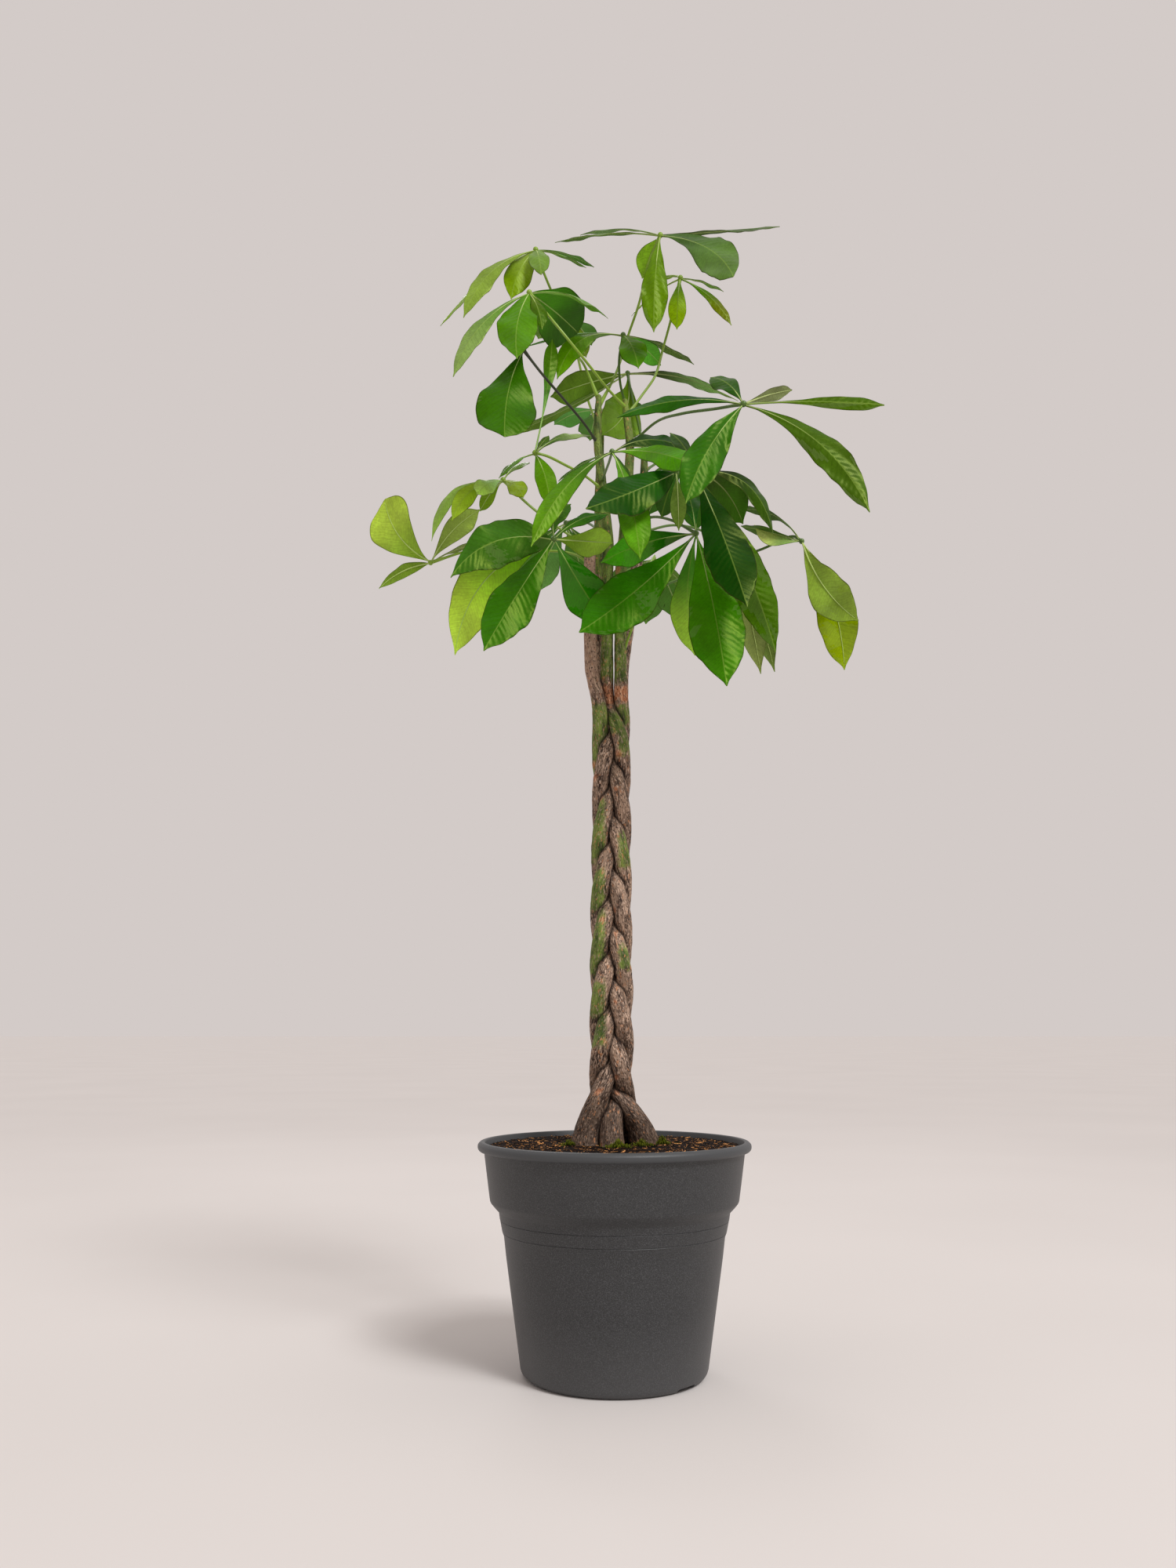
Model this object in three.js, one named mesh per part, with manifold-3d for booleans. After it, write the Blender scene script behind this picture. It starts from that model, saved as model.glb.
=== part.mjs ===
// A potted money tree: five braided trunks in a nursery pot, with a crown of hand-shaped leaves.
// Millimetres, +Z up. The origin is the middle of the pot's underside, and -Y is the front.
import * as THREE from 'three';
import { mergeVertices } from 'three/addons/utils/BufferGeometryUtils.js';
import Module from 'manifold-3d';

// Pot: the outside of its wall from the foot to under the rim, then the rolled rim, as radius and height
const POT_WALL_OUTSIDE = [
  [84, 0],
  [89, 1.5],
  [92, 5],
  [93.2, 9],
  [107.1, 118.6],
  [109.3, 139.2],
  [110.9, 143],
  [113.2, 155.2],
  [114.6, 163.3],
  [119.3, 168.4],
  [122.9, 173],
  [125.7, 196],
  [128.8, 222.5],
];
const POT_RIM = [
  [133, 222.5],
  [135, 225],
  [135, 229],
  [132, 232],
  [128, 232],
];
const POT_WALL = 2.5;
const POT_FLOOR = 4;
const POT_INSIDE_HEIGHTS = [223, 176, 163, 119, 9, POT_FLOOR];
const POT_SIDES = 40;
const DRAIN_HOLE_RADIUS = 6;
const DRAIN_HOLE_DEPTH = POT_FLOOR * 3;
const DRAIN_HOLE_SIDES = 8;
const DRAIN_HOLE_RING = 62;
const DRAIN_HOLES = 6;
const NOTCH_HEIGHT = 5;
const NOTCH_WIDTH = 26;
const NOTCH_DEPTH = 12;
const NOTCH_RADIUS = 90;
const NOTCH_BEARINGS = [-42, 78, 198];

// Soil
const SOIL_TOP = 228;
const SOIL_EDGE = 2;
const SOIL_HEIGHTS = [SOIL_TOP - SOIL_EDGE, 176, 163, 119, 9];
const SEAT_GAP = 0.35;

// Trunks: feet in the soil, a braid of five, and the parting above it
const TRUNK_SIDES = 7;
const TRUNK_FOOT = 188;
const TRUNK_GATHERS = SOIL_TOP - 10;
const BRAID_STRANDS = 5;
const BRAID_START = 300;
const BRAID_END = 630;
const BRAID_TURN = 270;
const BRAID_PHASE_HEIGHT = 311;
const BRAID_PHASE = 90;
const BRAID_CENTRE = -3;
const BRAID_HALF_WIDTH = 11.6;
const BRAID_HALF_DEPTH = 12.5;
const BRAID_STRAND_RADIUS = 7.6;
const BRAID_BASE_SWELL = 1.4;
const BRAID_RINGS = 17;
const PARTING_LENGTH = 70;
const PARTING_RINGS = 4;
const FOOT_RINGS = 5;

// Leaves
const BLADE_THICKNESS = 0.9;
const BLADE_STATIONS = [0, 0.2, 0.4, 0.62, 0.84, 1];
const NARROW_BLADE = 34;
const BLADE_FULLEST = 1.6;
const BLADE_BLUNTNESS = 0.9;
const BLADE_STALK_HALF = 1;
const BLADE_ROOT = 1.6;
const BLADE_TIP_HALF = 0.5;
const BLADE_ARCH = 0.07;
const BLADE_DROOP = 0.16;
const BLADE_WAVE = 0.05;
const BLADE_WAVES = 2.2;
const HUB_RADIUS = 4.4;
const PETIOLE_RADIUS = 1.5;
const PETIOLE_SIDES = 4;
const PETIOLE_STEPS = 5;

// Vertices closer than this are one
const WELD = 1e-4;

// Directions that the upper side of a leaflet looks in
const FRONT = [0, -1, 0.15];
const TILTED = [0, -0.85, 0.5];
const LEVEL = [0, -0.4, 0.92];
const UNDER = [0, 0.15, 1];
const BEHIND = [0, 0.7, 0.7];

// Each trunk: its foot in the soil, the order it takes in the braid, and where it goes above it.
const TRUNKS = {
  trunk_right: {
    foot: [-27, -8, 17],
    turn: 0,
    crown: [[6, -8, 700, 6.2], [6, -8, 790, 5.8], [12, -4, 860, 5], [16, -1, 920, 4.2],
      [11, 0, 960, 3.4], [10, 0, 968, 2]],
  },
  trunk_leader: {
    foot: [-2, -22, 12.5],
    turn: 1,
    crown: [[-7.5, -8, 700, 6.2], [-7, -5, 790, 5.8], [-6, -4, 826, 5.4], [-12, -2, 881, 4.6],
      [-17, -1, 925, 4], [-16, 0, 962, 3.4], [-15, 0, 972, 2]],
  },
  trunk_left_back: {
    foot: [14, 28, 15],
    turn: 2,
    crown: [[-14, 20, 700, 7], [-15, 34, 800, 6], [-15, 36, 880, 4.6], [-13, 35, 955, 3.4],
      [-13, 35, 962, 2]],
  },
  trunk_left: {
    foot: [31, 5, 16],
    turn: 3,
    crown: [[-23, -12, 700, 6.4], [-25, -13, 760, 6], [-24, -13, 815, 5.6], [-24, -13, 822, 3]],
  },
  trunk_right_back: {
    foot: [-12, 25, 15],
    turn: 4,
    crown: [[8, 14, 700, 6.2], [14, 17, 745, 6], [21, 19, 790, 5.8], [28, 21, 860, 5], [31, 22, 910, 4],
      [30, 22, 930, 2.4]],
  },
};

// Each leaf: the trunk that it grows from and the height there, the petiole's bends, the hub where its
// leaflets meet, and each leaflet's tip from the hub, its width and the way its upper side looks. Some have
// a form of their own: arch and bend are how far the midrib bows up and aside, as shares of the length,
// twist is the degrees that the blade turns from hub to tip, fullest grows as the widest place nears the
// tip, skew sets that place apart on the two halves, and a low blunt squares the blade's ends.
const LEAVES = {
  leaf_top_right: {
    trunk: 'trunk_leader', root: 958,
    bends: [[3, 26, 1008], [15, 33, 1049], [25, 15, 1070], [36, 0, 1108]],
    hub: [45, -10, 1123],
    leaflets: [
      [-103, -20, -20, 18, LEVEL, { arch: 0.05 }], [-79, 30, 19, 14, LEVEL],
      [116, -10, 2, 18, LEVEL, { arch: 0, twist: 50 }],
      [65, -60, -77, 41, FRONT, { arch: 0.01, fullest: 1.7, bend: -0.1, skew: 0.25, blunt: 0.65 }],
      [-17, 22, -29, 26, FRONT, { fullest: 1.3 }], [-8, -30, -112, 26, FRONT],
    ],
  },
  leaf_top_right_young: {
    trunk: 'trunk_right', root: 950,
    bends: [[28, 8, 975], [41, 12, 996], [50, 20, 1030], [58, 25, 1061]],
    hub: [67, 20, 1099],
    leaflets: [
      [-5, -20, -63, 18, FRONT], [49, -20, -59, 12, TILTED], [45, 15, -5, 11, LEVEL],
      [-49, 8, -34, 11, LEVEL], [-15, 40, 22, 12, LEVEL],
    ],
  },
  leaf_top_left: {
    trunk: 'trunk_leader', root: 966,
    bends: [[-30, 14, 1008], [-44, 42, 1042], [-59, 25, 1078], [-71, 8, 1099]],
    hub: [-78, 0, 1115],
    leaflets: [
      [-92, -20, -87, 20, LEVEL, { arch: 0.06 }], [-67, -45, -93, 20, TILTED, { arch: 0.1 }],
      [-23, -22, -62, 27, FRONT, { fullest: 1.2 }],
      [7, -40, -49, 20, FRONT, { fullest: 1.1, blunt: 0.7 }], [50, 10, -12, 14, LEVEL],
      [58, 40, 7, 15, LEVEL],
    ],
  },
  leaf_upper_left: {
    trunk: 'trunk_right', root: 958,
    bends: [[-8, -24, 966], [-26, -46, 977], [-50, -62, 998]],
    hub: [-82, -50, 1043],
    leaflets: [
      [-68, -40, -101, 18, TILTED, { arch: 0.09 }],
      [-9, -45, -87, 38, FRONT, { arch: 0.02, fullest: 1.05, bend: 0.05 }],
      [75, 5, -22, 28, LEVEL, { arch: 0.13 }],
      [46, 58, -6, 54, BEHIND, { arch: 0.03, fullest: 1.5, skew: -0.2, blunt: 0.6 }],
      [13, -20, -46, 15, TILTED],
    ],
  },
  leaf_hanging_left: {
    trunk: 'trunk_leader', root: 922,
    bends: [[-30, -14, 936], [-49, -30, 951], [-71, -50, 967]],
    hub: [-87, -60, 983],
    leaflets: [
      [-15, -40, -101, 57, FRONT, { arch: 0.02, fullest: 1.9, bend: 0.04, blunt: 0.7 }],
      [-23, 40, 34, 15, LEVEL],
    ],
  },
  leaf_upper_middle: {
    trunk: 'trunk_right', root: 962,
    bends: [[6, 5, 985], [5, 7, 1010]],
    hub: [9, 10, 1036],
    leaflets: [
      [-65, -40, -65, 24, TILTED, { arch: 0.17 }], [14, -35, -52, 27, FRONT, { fullest: 1.1 }],
      [75, 50, -3, 20, LEVEL], [40, 40, -9, 20, BEHIND], [-98, 20, -1, 14, LEVEL],
    ],
  },
  leaf_middle_back: {
    trunk: 'trunk_right_back', root: 922,
    bends: [[26, 34, 955], [20, 48, 990]],
    hub: [15, 60, 1024],
    leaflets: [
      [-79, -35, -42, 30, BEHIND, { arch: 0.02 }], [-124, -40, -84, 18, UNDER, { arch: -0.02 }],
      [-27, -38, -82, 46, BEHIND, { bend: 0.2 }], [96, -35, -40, 18, UNDER],
      [115, 0, -29, 18, LEVEL],
    ],
  },
  leaf_right: {
    trunk: 'trunk_right', root: 920,
    bends: [[38, -35, 926], [60, -90, 908], [88, -140, 888]],
    hub: [107, -170, 877],
    leaflets: [
      [-108, 20, -2, 20, TILTED, { arch: 0.08 }], [-24, 45, 46, 20, FRONT],
      [49, 45, 35, 12, BEHIND, { arch: 0.02 }],
      [118, -10, -6, 13, FRONT, { arch: 0.02, fullest: 2.6 }],
      [100, -35, -107, 27, FRONT, { arch: 0.1 }],
      [-53, -45, -104, 33, FRONT, { arch: 0.0, fullest: 1.3, bend: 0.05 }],
    ],
  },
  leaf_middle_front: {
    trunk: 'trunk_leader', root: 884,
    bends: [[-9, -25, 884], [-6, -60, 878]],
    hub: [-4, -90, 873],
    leaflets: [
      [76, 25, 11, 26, TILTED, { arch: 0.14 }], [75, -82, -53, 25, FRONT, { arch: 0.05 }],
      [-50, 34, -12, 14, LEVEL], [-71, -75, -116, 20, FRONT],
      [23, -70, -125, 28, FRONT, { fullest: 1.9 }], [18, 50, -11, 11, LEVEL],
    ],
  },
  leaf_front_right: {
    trunk: 'trunk_right', root: 850,
    bends: [[38, -50, 846], [46, -100, 838]],
    hub: [52, -130, 836],
    leaflets: [
      [-80, -55, -55, 38, FRONT, { arch: -0.03, fullest: 0.95, bend: 0.02, blunt: 0.8 }],
      [1, -20, -59, 14, BEHIND], [-11, 35, -25, 20, FRONT], [-40, 50, 10, 19, TILTED],
    ],
  },
  leaf_left: {
    trunk: 'trunk_leader', root: 815,
    bends: [[-34, -8, 823], [-65, -14, 841], [-87, -18, 857]],
    hub: [-109, -20, 878],
    leaflets: [
      [-23, -30, -27, 20, FRONT], [-47, -25, -50, 18, FRONT, { arch: 0.14 }],
      [-71, 12, -55, 14, TILTED, { arch: 0.24 }], [22, -35, -32, 18, FRONT],
      [24, 40, 35, 14, LEVEL], [-24, 20, -22, 13, BEHIND],
    ],
  },
  leaf_far_left: {
    trunk: 'trunk_left_back', root: 806,
    bends: [[-38, 26, 822], [-81, 24, 826], [-142, 26, 827]],
    hub: [-186, 30, 816],
    leaflets: [
      [-45, -10, 60, 52, BEHIND, { arch: -0.135, fullest: 2.1, blunt: 0.6 }],
      [-48, -25, -35, 13, BEHIND, { fullest: 1.0 }], [49, 15, 60, 24, BEHIND],
      [78, 45, 40, 20, UNDER],
    ],
  },
  leaf_front_left: {
    trunk: 'trunk_left', root: 806,
    bends: [[-28, -40, 806], [-46, -85, 793]],
    hub: [-57, -110, 785],
    leaflets: [
      [-91, -20, -42, 46, FRONT, { arch: 0.0, fullest: 0.75, bend: 0.17, skew: -0.15, blunt: 1.0 }],
      [-60, -40, -113, 41, FRONT, { arch: -0.02, fullest: 1.4, bend: 0.03 }],
      [-92, 25, -97, 44, BEHIND, { arch: 0.12, fullest: 1.4, bend: -0.06 }],
      [47, 14, -72, 40, FRONT, { arch: 0.03, bend: 0.04 }],
      [15, 25, 42, 18, FRONT, { bend: -0.1 }], [50, 48, 42, 15, TILTED],
      [54, 50, 16, 30, BEHIND, { arch: 0 }],
    ],
  },
  leaf_low_right: {
    trunk: 'trunk_right', root: 832,
    bends: [[30, -30, 836], [50, -72, 818]],
    hub: [72, -105, 792],
    leaflets: [
      [-106, -23, -97, 50, FRONT, { arch: -0.03, fullest: 1.7 }],
      [-86, 25, -17, 30, FRONT, { arch: 0.02, bend: 0.04 }],
      [24, -35, -148, 50, FRONT, { arch: 0.02, fullest: 1.5 }],
      [2, 35, -100, 32, FRONT, { bend: 0.07 }], [-8, 45, 64, 20, TILTED],
    ],
  },
  leaf_hanging_right: {
    trunk: 'trunk_right_back', root: 880,
    bends: [[46, -10, 886], [60, -65, 870]],
    hub: [70, -110, 847],
    leaflets: [
      [40, -62, -144, 42, FRONT, { arch: 0.02 }], [75, 25, -48, 22, TILTED, { arch: 0.24 }],
      [75, 10, -161, 36, FRONT, { arch: 0.04 }], [68, 58, -167, 30, BEHIND],
      [86, 90, -156, 28, BEHIND], [-20, 30, 48, 13, FRONT],
      [49, 40, -32, 34, BEHIND, { arch: 0.16 }],
    ],
  },
  leaf_far_right: {
    trunk: 'trunk_right_back', root: 776,
    bends: [[70, 22, 798], [108, 18, 811], [148, 10, 822], [176, -2, 830]],
    hub: [184, -10, 822],
    leaflets: [
      [47, -40, -91, 38, BEHIND, { arch: 0.03, fullest: 1.5, bend: -0.1 }],
      [40, -10, -129, 38, BEHIND], [-57, 40, 48, 22, UNDER, { arch: 0.12 }],
      [-58, 15, 21, 20, UNDER, { arch: 0.02 }], [-45, 10, 20, 16, FRONT, { arch: -0.12 }],
    ],
  },
  leaf_inner_left: {
    trunk: 'trunk_leader', root: 876,
    bends: [[-30, -12, 886], [-49, -24, 891], [-66, -36, 894]],
    hub: [-77, -40, 895],
    leaflets: [
      [16, -30, -65, 20, FRONT, { fullest: 1.2 }],
      [16, 20, 120, 14, FRONT, { fullest: 3.0, bend: 0.07 }], [14, -20, 7, 10, LEVEL],
      [54, 65, 47, 12, TILTED], [-33, -22, -34, 10, LEVEL],
    ],
  },
  leaf_back_low: {
    trunk: 'trunk_right', root: 706,
    bends: [[19, -12, 742], [31, -2, 788], [42, 52, 830]],
    hub: [45, 110, 850],
    leaflets: [
      [-50, 50, -35, 36, UNDER], [-5, 78, -45, 38, UNDER], [34, 68, -44, 36, UNDER],
      [46, 0, -50, 28, UNDER], [-58, 0, -34, 30, UNDER],
    ],
  },
  leaf_back_left: {
    trunk: 'trunk_left_back', root: 850,
    bends: [[-24, 62, 868], [-38, 90, 884]],
    hub: [-50, 108, 888],
    leaflets: [
      [-66, 30, -48, 36, UNDER], [-38, 72, -52, 36, UNDER], [22, 78, -50, 36, UNDER],
      [46, 26, -56, 32, UNDER],
    ],
  },
  leaf_back_right: {
    trunk: 'trunk_right_back', root: 905,
    bends: [[50, 52, 930], [70, 84, 952]],
    hub: [84, 106, 960],
    leaflets: [
      [50, 46, -52, 34, UNDER], [14, 80, -50, 34, UNDER], [-44, 62, -40, 32, UNDER],
      [-54, 8, -40, 26, UNDER],
    ],
  },
  leaf_back_top: {
    trunk: 'trunk_left_back', root: 948,
    bends: [[-17, 68, 975], [-26, 88, 1010], [-38, 92, 1062]],
    hub: [-48, 92, 1100],
    leaflets: [
      [-34, 66, 14, 30, UNDER], [26, 72, 10, 30, UNDER], [-2, 96, 18, 30, UNDER],
      [20, 30, -26, 20, UNDER],
    ],
  },
  leaf_back_middle: {
    trunk: 'trunk_left_back', root: 916,
    bends: [[-14, 60, 950], [-14, 92, 990]],
    hub: [-14, 112, 1012],
    leaflets: [
      [-50, 50, 8, 32, UNDER], [30, 74, 12, 34, UNDER], [-10, 88, 8, 32, UNDER],
      [52, 20, 8, 24, UNDER],
    ],
  },
  leaf_back_far_right: {
    trunk: 'trunk_right_back', root: 842,
    bends: [[62, 50, 862], [98, 88, 870]],
    hub: [116, 110, 866],
    leaflets: [
      [42, 52, -40, 34, UNDER], [-8, 80, -46, 34, UNDER], [-30, 20, -66, 30, UNDER],
      [44, -6, -56, 28, UNDER],
    ],
  },
};

const LOOKS = {
  pot: { color: 0x46484a, roughness: 0.55 },
  soil: { color: 0x2a1a11, roughness: 0.95 },
  bark: { color: 0x6f5a4c, roughness: 0.85 },
  leaf: { color: 0x2f7a14, roughness: 0.4 },
};

const manifold = await Module();
manifold.setup();

function toSolid(geometry) {
  geometry.deleteAttribute('normal');
  geometry.deleteAttribute('uv');
  const merged = mergeVertices(geometry, WELD);
  const mesh = new manifold.Mesh({
    numProp: 3,
    vertProperties: Float32Array.from(merged.attributes.position.array),
    triVerts: Uint32Array.from(merged.index.array),
  });
  return new manifold.Manifold(mesh);
}

function toGeometry(solid) {
  const mesh = solid.getMesh();
  const geometry = new THREE.BufferGeometry();
  geometry.setAttribute('position', new THREE.BufferAttribute(mesh.vertProperties, 3));
  geometry.setIndex(new THREE.BufferAttribute(mesh.triVerts, 1));
  geometry.computeVertexNormals();
  return geometry;
}

// A cut can leave a loose scrap beside the body: only the body is kept.
function largestBody(solid) {
  return solid.decompose().reduce((best, body) => (body.volume() > best.volume() ? body : best));
}

function makePiece(name, solid, look) {
  const material = new THREE.MeshStandardMaterial({ ...look, metalness: 0 });
  const mesh = new THREE.Mesh(toGeometry(solid), material);
  mesh.name = name;
  return mesh;
}

function mix(a, b, share) {
  return a + (b - a) * share;
}

// The lathe turns about its own Y axis, which becomes Z here.
function turnedSolid(profile) {
  const points = profile.map(([radius, height]) => new THREE.Vector2(radius, height));
  const geometry = new THREE.LatheGeometry(points, POT_SIDES);
  geometry.rotateX(Math.PI / 2);
  return toSolid(geometry);
}

// The radius of the inside of the pot's wall at a given height.
function insideRadius(height) {
  let above = 1;
  while (above < POT_WALL_OUTSIDE.length - 1 && height > POT_WALL_OUTSIDE[above][1]) above += 1;
  const [lowRadius, low] = POT_WALL_OUTSIDE[above - 1];
  const [highRadius, high] = POT_WALL_OUTSIDE[above];
  return mix(lowRadius, highRadius, Math.min((height - low) / (high - low), 1)) - POT_WALL;
}

function drainHole(bearing) {
  const hole = new THREE.CylinderGeometry(
    DRAIN_HOLE_RADIUS, DRAIN_HOLE_RADIUS, DRAIN_HOLE_DEPTH, DRAIN_HOLE_SIDES,
  );
  hole.rotateX(Math.PI / 2);
  hole.translate(DRAIN_HOLE_RING * Math.cos(bearing), DRAIN_HOLE_RING * Math.sin(bearing), 0);
  return toSolid(hole);
}

function drainNotch(bearing) {
  const notch = new THREE.BoxGeometry(NOTCH_DEPTH, NOTCH_WIDTH, NOTCH_HEIGHT * 2);
  notch.translate(NOTCH_RADIUS, 0, 0);
  notch.rotateZ(bearing);
  return toSolid(notch);
}

function makePot() {
  const inside = POT_INSIDE_HEIGHTS.map((height) => [insideRadius(height), height]);
  let pot = turnedSolid([[0, 0], ...POT_WALL_OUTSIDE, ...POT_RIM, ...inside, [0, POT_FLOOR]]);
  for (let i = 0; i < DRAIN_HOLES; i += 1) {
    pot = pot.subtract(drainHole(((i + 0.5) * 2 * Math.PI) / DRAIN_HOLES));
  }
  for (const bearing of NOTCH_BEARINGS) {
    pot = pot.subtract(drainNotch(THREE.MathUtils.degToRad(bearing)));
  }
  return pot;
}

// The root ball fills the pot, a seat gap clear of its wall and floor, with a hole for each trunk.
function makeSoil(trunkSleeves) {
  const wall = SOIL_HEIGHTS.map((height) => [insideRadius(height) - SEAT_GAP, height]);
  const bottom = POT_FLOOR + SEAT_GAP;
  const bottomRadius = insideRadius(bottom) - SEAT_GAP;
  const topRadius = insideRadius(SOIL_TOP) - SEAT_GAP - SOIL_EDGE;
  let soil = turnedSolid([
    [0, bottom], [bottomRadius, bottom], ...wall.reverse(), [topRadius, SOIL_TOP], [0, SOIL_TOP],
  ]);
  for (const sleeve of trunkSleeves) soil = soil.subtract(sleeve);
  return soil;
}

// The braid: strands swing from side to side once in each turn, and from front to back twice.
function braidAt(trunk, z) {
  const swing = (z - BRAID_PHASE_HEIGHT) / BRAID_TURN + trunk.turn / BRAID_STRANDS;
  const angle = THREE.MathUtils.degToRad(BRAID_PHASE) + 2 * Math.PI * swing;
  const swell = BRAID_BASE_SWELL * (1 - THREE.MathUtils.smoothstep(z, BRAID_START, BRAID_END));
  return {
    x: BRAID_CENTRE - (BRAID_HALF_WIDTH + swell) * Math.cos(angle),
    y: -(BRAID_HALF_DEPTH + swell) * Math.sin(2 * angle),
    radius: BRAID_STRAND_RADIUS + swell,
  };
}

// Above the braid a trunk runs straight from point to point of its crown.
function crownAt(trunk, z) {
  const points = trunk.crown;
  let above = 1;
  while (above < points.length - 1 && z > points[above][2]) above += 1;
  const from = points[above - 1];
  const to = points[above];
  const share = THREE.MathUtils.clamp((z - from[2]) / (to[2] - from[2]), 0, 1);
  return {
    x: mix(from[0], to[0], share),
    y: mix(from[1], to[1], share),
    radius: mix(from[3], to[3], share),
  };
}

// Where a trunk runs at a given height, and how thick it is there.
function trunkAt(trunk, z) {
  const [footX, footY, footRadius] = trunk.foot;
  const braid = braidAt(trunk, z);
  const crown = crownAt(trunk, z);
  const low = THREE.MathUtils.smoothstep(z, TRUNK_GATHERS, BRAID_START);
  const high = THREE.MathUtils.smoothstep(z, BRAID_END, BRAID_END + PARTING_LENGTH);
  return {
    x: mix(mix(footX, braid.x, low), crown.x, high),
    y: mix(mix(footY, braid.y, low), crown.y, high),
    radius: mix(mix(footRadius, braid.radius, low), crown.radius, high),
  };
}

// Heights of a trunk's rings: close together where it bends in the braid, and at each bend of its crown.
function ringHeights(trunk) {
  const heights = [TRUNK_FOOT, TRUNK_GATHERS];
  const spread = (from, to, rings) => {
    for (let i = 1; i <= rings; i += 1) heights.push(mix(from, to, i / rings));
  };
  spread(TRUNK_GATHERS, BRAID_START, FOOT_RINGS);
  spread(BRAID_START, BRAID_END, BRAID_RINGS);
  spread(BRAID_END, BRAID_END + PARTING_LENGTH, PARTING_RINGS);
  for (const [, , height] of trunk.crown.slice(1)) heights.push(height);
  return heights;
}

// A trunk grown by a seat gap all round is the sleeve that its neighbours are cut by.
function makeTrunk(trunk, growth) {
  const heights = ringHeights(trunk);
  const spans = heights.length - 1;
  const geometry = new THREE.CylinderGeometry(1, 1, 1, TRUNK_SIDES, spans);
  const places = geometry.attributes.position;
  for (let i = 0; i < places.count; i += 1) {
    const ring = Math.round((places.getY(i) + 0.5) * spans);
    const centre = trunkAt(trunk, heights[ring]);
    const end = ring === 0 ? -growth : ring === spans ? growth : 0;
    const reach = centre.radius + growth;
    const x = centre.x + reach * places.getZ(i);
    const y = centre.y + reach * places.getX(i);
    places.setXYZ(i, x, y, heights[ring] + end);
  }
  return toSolid(geometry);
}

// The part of a direction that stands square to a leaflet's run.
function squareTo(run, [x, y, z]) {
  const direction = new THREE.Vector3(x, y, z);
  return direction.addScaledVector(run, -direction.dot(run)).normalize();
}

// The corners of a leaflet's upper face and then its lower one, station by station from the hub to the tip.
// It narrows to its stalk, bows, droops and waves at its margins, and ends in a drawn-out point.
function bladePlaces(hub, leaflet, columns, order) {
  const [dx, dy, dz, width, facing, form = {}] = leaflet;
  const { arch = BLADE_ARCH, bend = 0, twist = 0 } = form;
  const { fullest = BLADE_FULLEST, skew = 0, blunt = BLADE_BLUNTNESS } = form;
  const run = new THREE.Vector3(dx, dy, dz);
  const length = run.length();
  run.normalize();
  const rise = squareTo(run, [0, 0, 1]);
  const aside = new THREE.Vector3().crossVectors(run, squareTo(run, facing));
  const places = [];
  for (const face of [1, -1]) {
    for (const t of BLADE_STATIONS) {
      const turn = THREE.MathUtils.degToRad(twist) * (t - 0.5);
      const up = squareTo(run, facing).applyAxisAngle(run, turn);
      const side = aside.clone().applyAxisAngle(run, turn);
      const bow = length * 4 * t * (1 - t);
      const middle = hub.clone().addScaledVector(run, mix(BLADE_ROOT, length, t));
      middle.addScaledVector(rise, arch * bow).addScaledVector(aside, bend * bow);
      for (const column of columns) {
        const peak = fullest * (1 + skew * column);
        const shape = Math.sin(Math.PI * t ** peak) ** blunt;
        const half = Math.max((width / 2) * shape, mix(BLADE_STALK_HALF, BLADE_TIP_HALF, t));
        const swing = Math.sin(2 * Math.PI * BLADE_WAVES * t + order * column);
        const wave = column * BLADE_WAVE * width * shape * swing;
        const lift = wave - Math.abs(column) * BLADE_DROOP * half + (face * BLADE_THICKNESS) / 2;
        const place = middle.clone().addScaledVector(side, column * half).addScaledVector(up, lift);
        places.push(place.x, place.y, place.z);
      }
    }
  }
  return places;
}

// The faces between those corners: both sides of the blade split alike, then its edges and its two ends.
function bladeFaces(row) {
  const lastRow = (BLADE_STATIONS.length - 1) * row;
  const under = BLADE_STATIONS.length * row;
  const faces = [];
  const quad = (a, b, c, d) => faces.push(a, b, c, a, c, d);
  for (let start = 0; start < lastRow; start += row) {
    const right = start + row - 1;
    for (let corner = start; corner < right; corner += 1) {
      quad(corner, corner + 1, corner + row + 1, corner + row);
      faces.push(under + corner, under + corner + row + 1, under + corner + 1);
      faces.push(under + corner, under + corner + row, under + corner + row + 1);
    }
    quad(start, start + row, under + start + row, under + start);
    quad(right, under + right, under + right + row, right + row);
  }
  for (let column = 0; column < row - 1; column += 1) {
    const tip = lastRow + column;
    quad(column, under + column, under + column + 1, column + 1);
    quad(tip, tip + 1, under + tip + 1, under + tip);
  }
  return faces;
}

function makeLeaflet(hub, leaflet, order) {
  const [, , , width] = leaflet;
  const columns = width > NARROW_BLADE ? [-1, 0, 1] : [-1, 1];
  const places = bladePlaces(hub, leaflet, columns, order);
  const geometry = new THREE.BufferGeometry();
  geometry.setAttribute('position', new THREE.BufferAttribute(Float32Array.from(places), 3));
  geometry.setIndex(bladeFaces(columns.length));
  return toSolid(geometry);
}

function makePetiole(points) {
  const route = new THREE.CatmullRomCurve3(points, false, 'centripetal');
  const section = new THREE.Shape();
  for (let i = 0; i < PETIOLE_SIDES; i += 1) {
    const bearing = (i * 2 * Math.PI) / PETIOLE_SIDES;
    const x = PETIOLE_RADIUS * Math.cos(bearing);
    const y = PETIOLE_RADIUS * Math.sin(bearing);
    if (i === 0) section.moveTo(x, y);
    else section.lineTo(x, y);
  }
  return toSolid(new THREE.ExtrudeGeometry(section, { extrudePath: route, steps: PETIOLE_STEPS }));
}

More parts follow.
